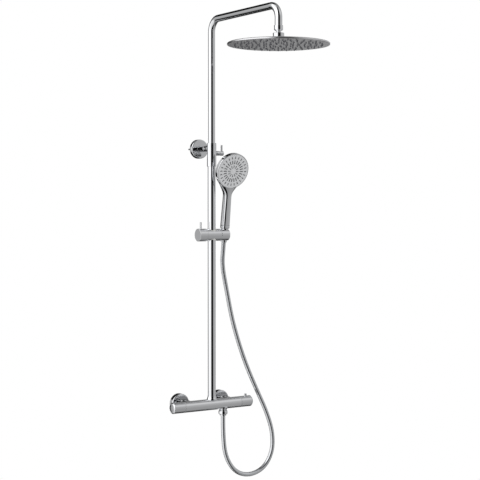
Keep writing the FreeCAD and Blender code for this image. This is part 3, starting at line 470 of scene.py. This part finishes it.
BAR = Round("flow_knob_cap", "X")
BODY = Round("valve_body", "X")
BAR_RADIUS = BAR.radius
SPIGOT_RADIUS = 11.5


def bar_body():
    """The bar between the knobs, with the boss that flares out of it above the hose."""
    bar = lathe("bar", [(0, BODY.low), (BAR_RADIUS, BODY.low, 0.5), (BAR_RADIUS, BODY.high, 0.5),
                        (0, BODY.high)], BAR.centre, X, 144)
    outlet = Round("hose_outlet_nut", "Z")
    foot = outlet.high + 0.3
    flare = [(0, foot), (11.0, foot, 0.5), (11.3, foot + 1.5, 3), (16.2, foot + 8.5, 3), (16.2, foot + 12),
             (0, foot + 12)]
    boss = lathe("boss", flare, outlet.centre, Z, 64)
    spigots = []
    for side in ("left", "right"):
        nut = Round(side + "_union_nut", "Y")
        spigots.append(lathe("spigot", [(0, nut.low - 14), (SPIGOT_RADIUS, nut.low - 14),
                                        (SPIGOT_RADIUS, nut.low + 4, 0.4), (0, nut.low + 4)],
                             nut.centre, Y, 64))
    return finish(merged("bar_valve_body", bar, boss, *spigots), PLATED_BRASS, "root", "chromed_brass",
                  "valve_body")


bar_body()


def knob(side, name, body, cad_knob, cad_cap):
    """A knob with a shallow groove near its outer end and a chamfered, slightly domed cap."""
    grip, cap = Round(cad_knob, "X"), Round(cad_cap, "X")
    near = grip.low if side > 0 else -grip.high
    far = grip.high if side > 0 else -grip.low
    end = cap.high if side > 0 else -cap.low
    radius = BAR_RADIUS
    corners = [(0, near), (radius, near, 0.4), (radius, far - 1.2, 0.15), (radius - 0.5, far - 1.0, 0.1),
               (radius - 0.5, far - 0.5, 0.1), (radius, far - 0.3, 0.15), (radius, far, 0.1), (0, far)]
    shell = lathe(name, corners, BAR.centre, X * side, 144)
    finish(shell, PLATED_ABS, body, "chromed_abs", cad_knob)
    rim = [(0, far + 0.05), (radius, far + 0.05, 0.15), (radius, end - 3.4, 0.8),
           (radius - 2.4, end - 0.6, 0.8), (radius - 3.2, end - 0.6, 0.2), (radius - 3.6, end - 1.1, 0.2),
           (0, end - 1.1)]
    finish(lathe(name + "_rim", rim, BAR.centre, X * side, 144), PLATED_ABS, body, "chromed_abs", cad_cap)
    lens = [(0, end - 1.3), (radius - 3.8, end - 1.3, 0.1), (radius - 3.8, end - 0.7, 0.4),
            (radius * 0.4, end - 0.15, 40), (0, end - 0.1)]
    finish(lathe(name + "_lens", lens, BAR.centre, X * side, 96), PLATED_ABS, body, "chromed_abs")


knob(-1, "flow_knob_grip", "flow_control", "flow_knob", "flow_knob_cap")
knob(1, "temperature_knob_grip", "thermostat", "temperature_knob", "temperature_knob_cap")


def stop_button():
    stud = Round("temperature_stop_button", "Z")
    low = BAR.centre[2] + BAR_RADIUS - 5
    corners = [(0, low), (4, low), (4, stud.high, 1.0), (0, stud.high)]
    finish(lathe("stop_stud", corners, stud.centre, Z, 48), PLATED_ABS, "stop_button", "stop_stud",
           "temperature_stop_button")


stop_button()


def rosette(name, node, bore):
    """A pressed cover: a flat face, a large rounded edge and a hollow back against the wall."""
    cover = Round(node, "Y")
    radius, face, back = cover.radius, cover.low, cover.high
    corners = [(bore, face, 0.5), (radius, face, 3.2), (radius, back, 0.2), (radius - 1.5, back, 0.2),
               (radius - 1.5, face + 1.5, 2.2), (bore, face + 1.5, 0.3)]
    return finish(lathe(name, corners, cover.centre, Y, 144, closed=True), PLATED_BRASS, "root",
                  "chromed_brass", node)


def hex_nut(name, node, across_flats, inner):
    """A hexagon nut: its outline is the lesser of a hexagon and the circle its chamfer leaves."""
    nut = Round(node, "Y")
    angle = np.linspace(0, 2 * np.pi, 120, endpoint=False)
    folded = (angle + np.pi / 6) % (np.pi / 3) - np.pi / 6
    apothem = across_flats / 2
    edge = apothem / np.cos(folded)
    stations = np.array([nut.low, nut.low, nut.low + 1.4, nut.high - 1.4, nut.high, nut.high])
    limits = np.array([inner, apothem - 0.3, 99, 99, apothem - 0.3, inner])
    radii = np.minimum(edge[None], limits[:, None])
    chamfer = np.minimum(edge, apothem * 1.09)
    radii[2], radii[3] = chamfer, chamfer
    first, second, along = basis(Y)
    ray = np.cos(angle)[:, None] * first + np.sin(angle)[:, None] * second
    rings = nut.centre + radii[:, :, None] * ray + stations[:, None, None] * along
    used, faces = grid(rings, looped=True)
    piece = mesh_piece(name, rings.reshape(-1, 3)[used], faces)
    piece.data.polygons.foreach_set("use_smooth", np.zeros(len(piece.data.polygons), bool))
    bevel = piece.modifiers.new("edge", "BEVEL")
    bevel.width = 0.0004
    bevel.segments = 2
    bevel.limit_method = "ANGLE"
    bevel.angle_limit = math.radians(25)
    return finish(piece, PLATED_BRASS, "root", "chromed_brass", node)


UNION_HOLE, NUT_ACROSS_FLATS = 10.8, 30.0
for side_name in ("left", "right"):
    rosette(side_name + "_wall_cover", side_name + "_rosette", UNION_HOLE)
    hex_nut(side_name + "_hex_nut", side_name + "_union_nut", NUT_ACROSS_FLATS, UNION_HOLE)

# ---------------------------------------------------------------- riser

BASE = Round("riser_base_nut", "Z")
TUBE = Round("lower_riser_tube", "Z")


def base_nut():
    """A nut whose side sweeps in from the bar's width to the tube's, in one hollow curve."""
    low, high = BASE.low - 3, BASE.high
    wide, slim = BASE.radius, TUBE.radius + 0.8
    part = np.linspace(0, 1, 14)
    sweep = [(slim + (wide - slim) * (1 - step) ** 2.2, BASE.low + 2 + (high - BASE.low - 2) * step, 0.4)
             for step in part]
    corners = [(0, low), (wide, low), *sweep, (TUBE.radius - 0.3, high, 0.3), (0, high)]
    finish(lathe("riser_nut", corners, BASE.centre, Z, 96), PLATED_BRASS, "root", "chromed_brass",
           "riser_base_nut")


base_nut()
finish(lathe("riser_tube", [(TUBE.radius - 1.2, TUBE.low, 0.2), (TUBE.radius, TUBE.low, 0.2),
                            (TUBE.radius, TUBE.high, 0.2), (TUBE.radius - 1.2, TUBE.high, 0.2)],
             TUBE.centre, Z, 128, closed=True), PLATED_TUBE, "root", "chromed_tube", "lower_riser_tube")

PIPE_RADIUS = 11.0
PIPE_WALL = 1.2
BEND = 40.0


def overhead_pipe():
    """Up from the riser, a quarter bend forward, along over the user, and a quarter bend down."""
    low, high = (np.array(corner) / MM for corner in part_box("overhead_pipe"))
    top = high[2] - PIPE_RADIUS
    back, front = high[1] - PIPE_RADIUS, low[1] + PIPE_RADIUS
    end = Round("drop_pipe_nut", "Z").high - 6
    quarter = np.linspace(0, np.pi / 2, 25)[:, None]
    rise = np.array([[0, back, low[2]], [0, back, low[2] + 200], [0, back, top - BEND - 200]])
    first = np.array([0, back - BEND, top - BEND]) + BEND * (np.cos(quarter) * Y + np.sin(quarter) * Z)
    middle = np.linspace([0, back - BEND - 40, top], [0, front + BEND + 40, top], 4)
    second = np.array([0, front + BEND, top - BEND]) + BEND * (-np.sin(quarter) * Y + np.cos(quarter) * Z)
    path = np.concatenate([rise, first, middle, second, [[0, front, end]]])
    tangents = np.concatenate([np.tile(Z, (3, 1)), -np.sin(quarter) * Y + np.cos(quarter) * Z,
                               np.tile(-Y, (4, 1)), -np.cos(quarter) * Y - np.sin(quarter) * Z, [-Z]])
    finish(tube("overhead_arm", path, tangents, PIPE_RADIUS, PIPE_WALL, 96), PLATED_TUBE, "arm",
           "chromed_tube", "overhead_pipe")


overhead_pipe()

# ---------------------------------------------------------------- wall bracket

COLLAR_RADIUS = 14.75
PIN_RADIUS = 3
COLLAR_FOOT = 757.0
ARM_RADIUS, ARM_FLARE = 9.5, 3.6
LOCK = Round("bracket_lock_screw", "X")
BRACKET = Round("bracket_rosette", "Y")


def bracket():
    low, high = (np.array(corner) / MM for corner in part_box("bracket_collar_arm"))
    top = high[2]
    foot = COLLAR_FOOT
    collar = lathe("collar", [(PIPE_RADIUS + 0.4, foot, 0.4), (TUBE.radius + 0.3, foot, 0.2),
                              (COLLAR_RADIUS, foot, 0.8), (COLLAR_RADIUS, top, 0.8),
                              (PIPE_RADIUS + 0.4, top, 0.4)], TUBE.centre, Z, 128, closed=True)
    arm_root = TUBE.centre[1] + COLLAR_RADIUS - 4
    part = np.linspace(0, 1, 12)
    flare = [(ARM_RADIUS + ARM_FLARE * (1 - step) ** 2.4, arm_root + 3 + 12 * step, 0.4) for step in part]
    arm = lathe("arm", [(0, arm_root - 3), (ARM_RADIUS + ARM_FLARE, arm_root - 3), *flare,
                        (ARM_RADIUS, BRACKET.low + 3), (0, BRACKET.low + 3)],
                BRACKET.centre, Y, 96)
    finish(merged("bracket_arm", collar, arm), PLATED_BRASS, "root", "chromed_brass", "bracket_collar_arm")
    rosette("bracket_cover", "bracket_rosette", 9.8)


bracket()


def lever_pin(name, node, body):
    """The slim upright pin that turns a clamp."""
    pin = Round(node, "Z")
    corners = [(0, pin.low), (PIN_RADIUS, pin.low), (PIN_RADIUS, pin.high, 0.8), (0, pin.high)]
    finish(lathe(name, corners, pin.centre, Z, 40), PLATED_BRASS, body, "chromed_brass", node)


def lock():
    """The clamp screw: a neck, a barrel with a turned groove, and the pin that turns it."""
    near, far, radius = COLLAR_RADIUS + 0.2, LOCK.high, LOCK.radius
    corners = [(0, near - 3), (radius - 2, near - 3), (radius - 2, near + 1.5, 0.2),
               (radius, near + 3.0, 0.6), (radius, near + 10.5, 0.3), (radius - 1.2, near + 11.2, 0.3),
               (radius - 1.2, near + 12.2, 0.3), (radius, near + 12.9, 0.3), (radius, far, 1.0), (0, far)]
    finish(lathe("lock_barrel", corners, LOCK.centre, X, 96), PLATED_BRASS, "bracket_lock", "chromed_brass",
           "bracket_lock_screw")
    lever_pin("lock_pin", "bracket_lock_lever", "bracket_lock")


lock()

# ---------------------------------------------------------------- ball joint and rain head

DROP = Round("drop_pipe_nut", "Z")
BALL_JOINT = Round("ball_joint_nut", "Z")
BALL_HEIGHT, BALL_RADIUS, BALL_NECK = 1129.0, 12.0, 7.0


def ball_joint():
    """Nut on the pipe, ball on its neck, and the round nut that holds the ball."""
    low, high = DROP.low, DROP.high
    finish(lathe("drop_nut", [(0, low), (DROP.radius - 3.5, low, 0.4), (DROP.radius - 2.4, low + 0.4, 1.5),
                              (DROP.radius, low + 3.4, 1.0), (DROP.radius, high, 0.8),
                              (PIPE_RADIUS - 0.5, high, 0.3), (0, high - 2)], DROP.centre, Z, 96),
           PLATED_BRASS, "arm", "chromed_brass", "drop_pipe_nut")
    arc = np.linspace(-np.pi / 2, math.acos(BALL_NECK / BALL_RADIUS), 26)
    sphere = [(BALL_RADIUS * math.cos(a), BALL_HEIGHT + BALL_RADIUS * math.sin(a), 0.5) for a in arc[1:]]
    corners = [(0, BALL_HEIGHT - BALL_RADIUS), *sphere, (BALL_NECK, low + 1, 0.2), (0, low + 1)]
    finish(lathe("ball", corners, DROP.centre, Z, 96), PLATED_BRASS, "arm", "chromed_brass", "ball_stem")
    low, high, radius = BALL_JOINT.low, BALL_JOINT.high, BALL_JOINT.radius
    finish(lathe("joint_collar", [(9.6, low, 0.3), (radius, low, 0.8), (radius, high - 0.2, 1.2),
                                  (12.8, high, 0.5), (12.5, high - 2.5, 0.2), (12.7, high - 9, 0.5),
                                  (9.6, low + 6, 0.4)], DROP.centre, Z, 96, closed=True),
           PLATED_BRASS, "rain_head", "chromed_brass", "ball_joint_nut")


ball_joint()

SHELL = Round("head_top_shell", "Z")
MAT = Round("head_nozzle_mat", "Z")


def rain_head():
    """A disc only as thick as its edge, cambered to a low boss, over a flat brushed plate."""
    under, top, radius = SHELL.low, SHELL.high, SHELL.radius
    crown = [(radius - 3.0 - (radius - 31) * step, under + 6.0 + 3.6 * math.sin(step * math.pi / 2), 8.0)
             for step in np.linspace(0.06, 0.97, 10)]
    corners = [(radius - 1.3, under + 0.2, 0.15), (radius - 0.9, under, 0.3), (radius, under + 0.9, 0.9),
               (radius, under + 4.3, 1.8), (radius - 2.2, under + 6.0, 2.0), *crown, (24.0, top - 1.4, 2.0),
               (22.0, top, 0.8), (9.0, top, 0.3), (9.0, under + 1.4, 0.3), (radius - 1.3, under + 1.4, 0.2)]
    finish(lathe("head_shell", corners, HEAD.centre, Z, 192, closed=True), BRUSHED, "rain_head",
           "brushed_head", "head_top_shell")
    plate = [(0, under + 0.25), (radius - 1.4, under + 0.25, 0.1), (radius - 1.4, under + 1.3, 0.1),
             (0, under + 1.3)]
    finish(lathe("head_plate", plate, HEAD.centre, Z, 192), BRUSHED, "rain_head", "brushed_head",
           "head_nozzle_plate")
    nozzles(under)


# The rings of nozzles, from the outside in: their number, and their turn in steps of one nozzle.
OUTER_RING, RING_STEP = 128.0, 17.0
RING_PLAN = ((32, 0), (32, 0.5), (32, 0), (16, 0), (16, 0.5), (16, 0), (8, 0))


def repeated(name, rings, facing, spots):
    """Copies of one small turned shape, each moved to its own spot."""
    used, faces = grid(rings)
    points, normals = rings.reshape(-1, 3)[used], facing.reshape(-1, 3)[used]
    every = (spots[:, None] + points[None]).reshape(-1, 3)
    count = len(points)
    all_faces = [[number + index * count for number in face] for index in range(len(spots))
                 for face in faces]
    return mesh_piece(name, every, all_faces, np.tile(normals, (len(spots), 1)))


def nozzles(under):
    """Rows of soft cones, each standing on a small raised foot."""
    spots = []
    for index, (count, shift) in enumerate(RING_PLAN):
        angle = 2 * np.pi * (np.arange(count) + shift) / count
        radius = OUTER_RING - RING_STEP * index
        spots.append(np.stack([radius * np.cos(angle), radius * np.sin(angle), np.zeros(count)], axis=1))
    spots = np.concatenate(spots) + HEAD.centre
    tip = MAT.low
    points, normals = rounded([(0, tip), (1.6, tip, 0.4), (2.15, under - 0.5, 0.2),
                               (3.0, under + 0.15, 0.2), (0, under + 0.9)],
                              steps=2)
    rings, facing = revolve(points, normals, np.zeros(3), Z, 14)
    finish(repeated("head_nozzles", rings, facing, spots), SILICONE, "rain_head", "grey_silicone",
           "head_nozzle_mat")


rain_head()

# ---------------------------------------------------------------- slider

SLIDER = Round("slider_body", "X")
HOLDER = Round("handset_holder", "X")
CLAMP = Round("slider_clamp_knob", "X")
BARREL_RADIUS = SLIDER.radius
RISER_BORE, BORE_REACH = 14.8, 30
SLOT_HALF_WIDTH = 8.5


def leaning_cone(name, low, high, grow):
    """The taper that the hose's cone nut and the holder's bore share, between two stations."""
    slope = (CONE_TOP_RADIUS - CONE_FOOT_RADIUS) / (CONE_TOP - CONE_FOOT)
    radii = [CONE_FOOT_RADIUS + slope * (station - CONE_FOOT) + grow for station in (low, high)]
    return lathe(name, [(0, low), (radii[0], low, 0.4), (radii[1], high, 0.4), (0, high)], cone_point(0),
                 LEAN, 96)


def block(name, low, high, turn):
    """A plain box between two corners, turned about the slider's axis."""
    low, high = np.array(low, float), np.array(high, float)
    spots = np.array([[x, y, z] for x in (0, 1) for y in (0, 1) for z in (0, 1)]) * (high - low) + low
    cosine, sine = math.cos(turn), math.sin(turn)
    turned = spots[:, 1] * cosine - spots[:, 2] * sine, spots[:, 1] * sine + spots[:, 2] * cosine
    spots[:, 1], spots[:, 2] = turned
    spots[:, 1:] += SLIDER_AXIS.centre[1:]
    sides = [(0, 1, 3, 2), (4, 6, 7, 5), (0, 4, 5, 1), (2, 3, 7, 6), (0, 2, 6, 4), (1, 5, 7, 3)]
    return mesh_piece(name, spots, sides)


def slider():
    """Two of the bar's three lengths: the clamp knob, and the body bored for the riser."""
    body = [(0, SLIDER.low), (BARREL_RADIUS, SLIDER.low, 0.5), (BARREL_RADIUS, SLIDER.high, 0.5),
            (0, SLIDER.high)]
    middle = SLIDER_AXIS.centre[2]
    bore = [(0, middle - BORE_REACH), (RISER_BORE, middle - BORE_REACH), (RISER_BORE, middle + BORE_REACH),
            (0, middle + BORE_REACH)]
    barrel = carved(lathe("slider_barrel", body, SLIDER.centre, X, 180),
                    lathe("bore", bore, TUBE.centre, Z, 128))
    finish(barrel, PLATED_ABS, "slider", "chromed_abs", "slider_body")
    knob_corners = [(0, CLAMP.low), (CLAMP.radius, CLAMP.low, 1.0), (CLAMP.radius, CLAMP.high, 0.4),
                    (0, CLAMP.high)]
    finish(lathe("clamp_grip", knob_corners, CLAMP.centre, X, 144), PLATED_ABS, "slider_clamp",
           "chromed_abs", "slider_clamp_knob")
    lever_pin("clamp_pin", "slider_clamp_lever", "slider_clamp")


def holder():
    """The bar's outer length, rounded at its end, bored along the handset's axis and slotted for the hose."""
    left, right = HOLDER.low, HOLDER.high
    outline = [(0, left), (BARREL_RADIUS, left, 0.5), (BARREL_RADIUS, right, 2.2), (0, right)]
    barrel = lathe("holder_barrel", outline, SLIDER.centre, X, 180)
    slot = block("slot", (CONE_X, -SLOT_HALF_WIDTH, -40), (CONE_X + 30, SLOT_HALF_WIDTH, 40),
                 math.atan2(-LEAN[1], LEAN[2]))
    carved(barrel, leaning_cone("bore", -31.0, 31.0, 0.25), slot)
    finish(barrel, PLATED_ABS, "holder", "chromed_abs", "handset_holder")


def cone_fitting():
    """The hose's conical nut in the holder, and the length of hose inside it that a lift pulls out."""
    finish(leaning_cone("cone_fitting", CONE_FOOT, CONE_TOP, 0.0), PLATED_ABS, "handset", "chromed_abs",
           "hose_cone_nut")
    line = np.linspace(cone_point(CONE_FOOT - 64), cone_point(CONE_FOOT + 4), 8)
    liner = hose_tube("hose_inner_length", line, HOSE_RADIUS - 0.25)
    liner.data.materials.append(HOSE)
    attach(liner, "handset")


slider()
holder()
cone_fitting()

# ---------------------------------------------------------------- handset

FACE = np.array(joint("spray_select")["pos_m"], float) / MM
BACKWARD = np.array(joint("spray_select")["axis"], float)
BACKWARD /= np.linalg.norm(BACKWARD)
FACE_UP = np.cross(X, BACKWARD)
FACE_RADIUS = 57.0
DISH_DEPTH = 20.9
HANDLE_SIDES = 120


def smooth_rows(table, count):
    """Rows of numbers spread evenly and eased, so that a shape lofted through them has no corners."""
    table = np.array(table, float)
    place = np.linspace(table[0, 0], table[-1, 0], count)
    rows = np.stack([np.interp(place, table[:, 0], table[:, column])
                     for column in range(1, table.shape[1])], axis=1)
    kernel = np.hanning(11)[1:-1]
    kernel /= kernel.sum()
    padded_rows = np.pad(rows, ((4, 4), (0, 0)), mode="edge")
    eased = np.stack([np.convolve(padded_rows[:, column], kernel, "valid")
                      for column in range(rows.shape[1])], axis=1)
    return place, eased


def handset_handle():
    """The handle, lofted through rounded squares that widen into the shoulders of the spray head."""
    table = [  # station, half width, half depth, forward shift, squareness
        (30, 13.3, 13.0, 0, 0.62), (76, 12.8, 12.6, 0, 0.62), (112, 12.2, 12.3, 0, 0.64),
             (124, 12.2, 12.1, 0, 0.66),
        (132, 13.4, 12.0, 0.3, 0.70), (139, 17.5, 11.9, 0.9, 0.76), (149, 25.2, 11.0, 3.2, 0.84),
        (159, 33.2, 10.6, 5.5, 0.9), (172, 43.0, 10.4, 7.3, 0.94), (187, 48.5, 9.0, 10.0, 0.96),
        (198, 49.5, 6.0, 13.0, 0.98),
    ]
    stations, rows = smooth_rows(table, 96)
    handle = squared("handle", stations, rows)
    foot = np.array([(21.4, 12.4), (21.5, 12.8), (21.9, 13.2), (22.5, 13.35), (28.6, 13.4), (29.0, 13.3),
                     (29.2, 13.0), (29.3, 12.3), (30.2, 12.3)])
    short = np.stack([foot[:, 1], foot[:, 1] - 0.3, 0 * foot[:, 1], 0 * foot[:, 1] + 0.62], axis=1)
    return merged("handle_whole", handle, squared("ferrule", foot[:, 0], short))


def squared(name, stations, rows):
    """A closed skin through rounded squares across the handset's axis."""
    angle = np.linspace(0, 2 * np.pi, HANDLE_SIDES, endpoint=False)
    power = rows[:, 3, None]
    across = np.sign(np.cos(angle)) * np.abs(np.cos(angle)) ** power
    through = np.sign(np.sin(angle)) * np.abs(np.sin(angle)) ** power
    depth_way = np.cross(LEAN, X)
    middle = cone_point(0) + np.asarray(stations)[:, None] * LEAN - rows[:, 2, None] * Y
    rings = (middle[:, None] + (rows[:, 0, None] * across)[..., None] * X
             + (rows[:, 1, None] * through)[..., None] * depth_way)
    rings = np.concatenate([np.repeat(middle[:1, None], HANDLE_SIDES, 1), rings,
                            np.repeat(middle[-1:, None], HANDLE_SIDES, 1)])
    used, faces = grid(rings)
    piece = mesh_piece(name, rings.reshape(-1, 3)[used], faces)
    piece.data.set_sharp_from_angle(angle=math.radians(50))
    return piece


def handset_dish():
    """The round dish behind the spray face: a bright rim, a rounded edge and a domed back."""
    radius = FACE_RADIUS
    dome = [(radius * math.cos(step) * 0.975, 15.4 + 5.5 * math.sin(step), 12.0)
            for step in np.linspace(0.22, 1.35, 9)]
    corners = [(0, 2.2), (radius - 2.4, 2.2, 0.3), (radius - 2.2, 0.9, 0.4), (radius - 1.0, 0.7, 0.5),
               (radius, 2.0, 1.2), (radius, 14.2, 3.0), *dome, (0, DISH_DEPTH)]
    return lathe("dish", corners, FACE, BACKWARD, 160)


def handset():
    dish = handset_dish()
    handle = handset_handle()
    whole = merged("handset_body", dish, handle)
    finish(whole, PLATED_ABS, "handset", "chromed_abs", "handset_shell")
    dial_radius = FACE_RADIUS - 2.6
    dial = [(0, 0.2), (48.0, 0.2, 2.0), (dial_radius - 0.3, 0.5, 0.6), (dial_radius, 1.2, 0.4),
            (dial_radius, 2.1), (0, 2.1)]
    finish(lathe("spray_face", dial, FACE, BACKWARD, 128), SATIN_FACE, "spray_dial", "satin_face",
           "handset_spray_dial")
    cap = [(0, -0.4), (8.2, -0.3, 0.5), (9.0, 0.3, 0.3), (9.0, 0.8), (0, 0.8)]
    finish(lathe("spray_cap", cap, FACE, BACKWARD, 64), SATIN_FACE, "handset", "satin_face",
           "handset_centre_cap")
    jets()


# The rings of spray bars: radius, length, width, number, and turn from the radial way.
JET_RINGS = ((44.2, 8.4, 2.5, 24, 0.0), (29.8, 12.4, 2.6, 24, 0.0),
             (17.0, 4.6, 1.6, 12, 0.7), (17.0, 4.6, 1.6, 12, -0.7),
             (12.3, 3.6, 1.5, 12, 0.7), (12.3, 3.6, 1.5, 12, -0.7))
JET_END = 6


def jets():
    """Rings of bars of soft rubber standing out of the face, each with rounded ends."""
    pieces = []
    for radius, length, width, count, tilt in JET_RINGS:
        end = np.linspace(-np.pi / 2, np.pi / 2, JET_END)
        cap_x = np.concatenate([length / 2 - width / 2 + width / 2 * np.cos(end),
                                -length / 2 + width / 2 - width / 2 * np.cos(end)])
        cap_y = np.concatenate([width / 2 * np.sin(end), -width / 2 * np.sin(end)])
        for index in range(count):
            angle = 2 * np.pi * index / count
            turn = angle + tilt
            spot_x = radius * math.cos(angle) + cap_x * math.cos(turn) - cap_y * math.sin(turn)
            spot_z = radius * math.sin(angle) + cap_x * math.sin(turn) + cap_y * math.cos(turn)
            outline = FACE + spot_x[:, None] * X + spot_z[:, None] * FACE_UP
            middle = outline.mean(axis=0)
            inner = middle + (outline - middle) * 0.72
            tip = np.repeat(middle[None] - 0.5 * BACKWARD, 2 * JET_END, 0)
            rings = np.stack([outline + 0.6 * BACKWARD, outline - 0.15 * BACKWARD, inner - 0.5 * BACKWARD,
                              tip])
            pieces.append(rings)
    vertices, faces, start = [], [], 0
    for rings in pieces:
        used, own = grid(rings)
        vertices.append(rings.reshape(-1, 3)[used])
        faces += [[number + start for number in face[::-1]] for face in own]
        start += len(used)
    piece = mesh_piece("spray_jets", np.concatenate(vertices), faces)
    finish(piece, FACE_JETS, "spray_dial", "grey_silicone", "handset_nozzle_mat")


handset()

# ---------------------------------------------------------------- hose fittings


def fittings():
    nut = Round("hose_outlet_nut", "Z")
    neck = 10.5
    corners = [(HOSE_RADIUS + 0.2, nut.low, 0.3), (neck, nut.low, 0.9), (neck, nut.low + 4.2, 1.0),
               (nut.radius, nut.low + 5.4, 3.0), (nut.radius, nut.high, 3.2),
               (HOSE_RADIUS + 0.2, nut.high, 0.3)]
    finish(lathe("outlet_nut", corners, nut.centre, Z, 96, closed=True), PLATED_BRASS, "root",
           "chromed_brass", "hose_outlet_nut")


fittings()

# ---------------------------------------------------------------- floor, light and air

floor_mesh = bpy.data.meshes.new("floor")
FLOOR_HALF, FLOOR_HEIGHT = 2.2, -1.0
floor_mesh.from_pydata([(-FLOOR_HALF, -FLOOR_HALF, FLOOR_HEIGHT), (FLOOR_HALF, -FLOOR_HALF, FLOOR_HEIGHT),
                        (FLOOR_HALF, FLOOR_HALF, FLOOR_HEIGHT), (-FLOOR_HALF, FLOOR_HALF, FLOOR_HEIGHT)], [],
                       [(0, 1, 2, 3)])
floor = bpy.data.objects.new("floor", floor_mesh)
bpy.context.scene.collection.objects.link(floor)
floor.data.materials.append(moulded("pale floor", "#e8e8e8", "#e2e2e2", 0.6, grain=0.01))
# The metal mirrors the studio alone, so that the floor doesn't whiten the undersides.
floor.visible_glossy = False


# Grey levels of the studio: by degrees round from behind the camera, and by the sine of the height
# above the horizon, in front of the column and beyond it.
BAND = ((-180, 0.15), (-170, 0.01), (-160, 0.006), (-123, 0.006), (-119, 0.42), (-110, 0.45),
        (-103, 1.12), (-19, 1.12), (-15, 0.006), (41, 0.006), (43, 0.36), (62, 0.40), (70, 0.47),
        (105, 0.47), (180, 0.50))
AHEAD = ((-1.0, 0.3), (-0.82, 0.7), (-0.55, 0.72), (-0.3, 0.84), (0.0, 1.0), (0.3, 1.08), (0.57, 1.4),
         (0.75, 1.35), (0.85, 0.8), (1.0, 0.6))
BEYOND = ((-1.0, 0.3), (-0.85, 0.14), (-0.6, 0.05), (-0.35, 0.15), (-0.2, 0.8), (0.0, 1.0), (0.25, 0.9),
          (0.5, 0.45), (0.85, 0.45), (1.0, 0.5))


def grey_ramp(tree, source, levels):
    """Grey levels against a value that runs from -1 to 1."""
    node = add(tree, "ShaderNodeValToRGB")
    tree.links.new(source.outputs["Result"], node.inputs["Fac"])
    ramp = node.color_ramp
    while len(ramp.elements) > 1:
        ramp.elements.remove(ramp.elements[-1])
    ramp.elements[0].position = 0.0
    ramp.elements[0].color = (levels[0][1],) * 3 + (1,)
    for up, grey in levels[1:]:
        element = ramp.elements.new((up + 1) / 2)
        element.color = (grey, grey, grey, 1)
    return node


def studio():
    """A white studio seen in the chrome as bands: white at the left, a black strip behind the
    camera, light grey at the right, and darker below."""
    world = bpy.data.worlds.new("studio")
    bpy.context.scene.world = world
    world.use_nodes = True
    tree = world.node_tree
    tree.nodes.clear()
    way = add(tree, "ShaderNodeTexCoord").outputs["Generated"]
    turned = add(tree, "ShaderNodeVectorRotate", {"rotation_type": "Z_AXIS", "Angle": CAMERA_TURN},
                 Vector=way)
    apart = add(tree, "ShaderNodeSeparateXYZ", Vector=turned.outputs["Vector"])
    behind = add(tree, "ShaderNodeMath", {"operation": "MULTIPLY"})
    tree.links.new(apart.outputs["Y"], behind.inputs[0])
    behind.inputs[1].default_value = -1.0
    around = add(tree, "ShaderNodeMath", {"operation": "ARCTAN2"})
    tree.links.new(apart.outputs["X"], around.inputs[0])
    tree.links.new(behind.outputs["Value"], around.inputs[1])
    share = add(tree, "ShaderNodeMapRange", {"From Min": -math.pi, "From Max": math.pi},
                Value=around.outputs["Value"])
    band = grey_ramp(tree, share, [(degrees / 180, grey) for degrees, grey in BAND])
    level = add(tree, "ShaderNodeMapRange", {"From Min": -1.0, "From Max": 1.0}, Value=apart.outputs["Z"])
    ahead = grey_ramp(tree, level, AHEAD)
    beyond = grey_ramp(tree, level, BEYOND)
    far = add(tree, "ShaderNodeMapRange", {"From Min": 100.0 / 360 + 0.5, "From Max": 135.0 / 360 + 0.5},
              Value=share.outputs["Result"])
    height = add(tree, "ShaderNodeMix", {"data_type": "RGBA"})
    tree.links.new(far.outputs["Result"], height.inputs[0])
    tree.links.new(ahead.outputs["Color"], height.inputs[6])
    tree.links.new(beyond.outputs["Color"], height.inputs[7])
    seen = add(tree, "ShaderNodeMix", {"data_type": "RGBA", "blend_type": "MULTIPLY"})
    seen.inputs[0].default_value = 1.0
    tree.links.new(band.outputs["Color"], seen.inputs[6])
    tree.links.new(height.outputs[2], seen.inputs[7])
    mirrored = add(tree, "ShaderNodeBackground", Color=seen.outputs[2])
    plain = add(tree, "ShaderNodeBackground", {"Color": (1, 1, 1, 1), "Strength": 1.0})
    rays = add(tree, "ShaderNodeLightPath")
    glossy = add(tree, "ShaderNodeMixShader")
    tree.links.new(rays.outputs["Is Glossy Ray"], glossy.inputs[0])
    tree.links.new(plain.outputs["Background"], glossy.inputs[1])
    tree.links.new(mirrored.outputs["Background"], glossy.inputs[2])
    end = add(tree, "ShaderNodeOutputWorld")
    tree.links.new(glossy.outputs["Shader"], end.inputs["Surface"])


studio()
bpy.context.scene.view_settings.view_transform = "Standard"
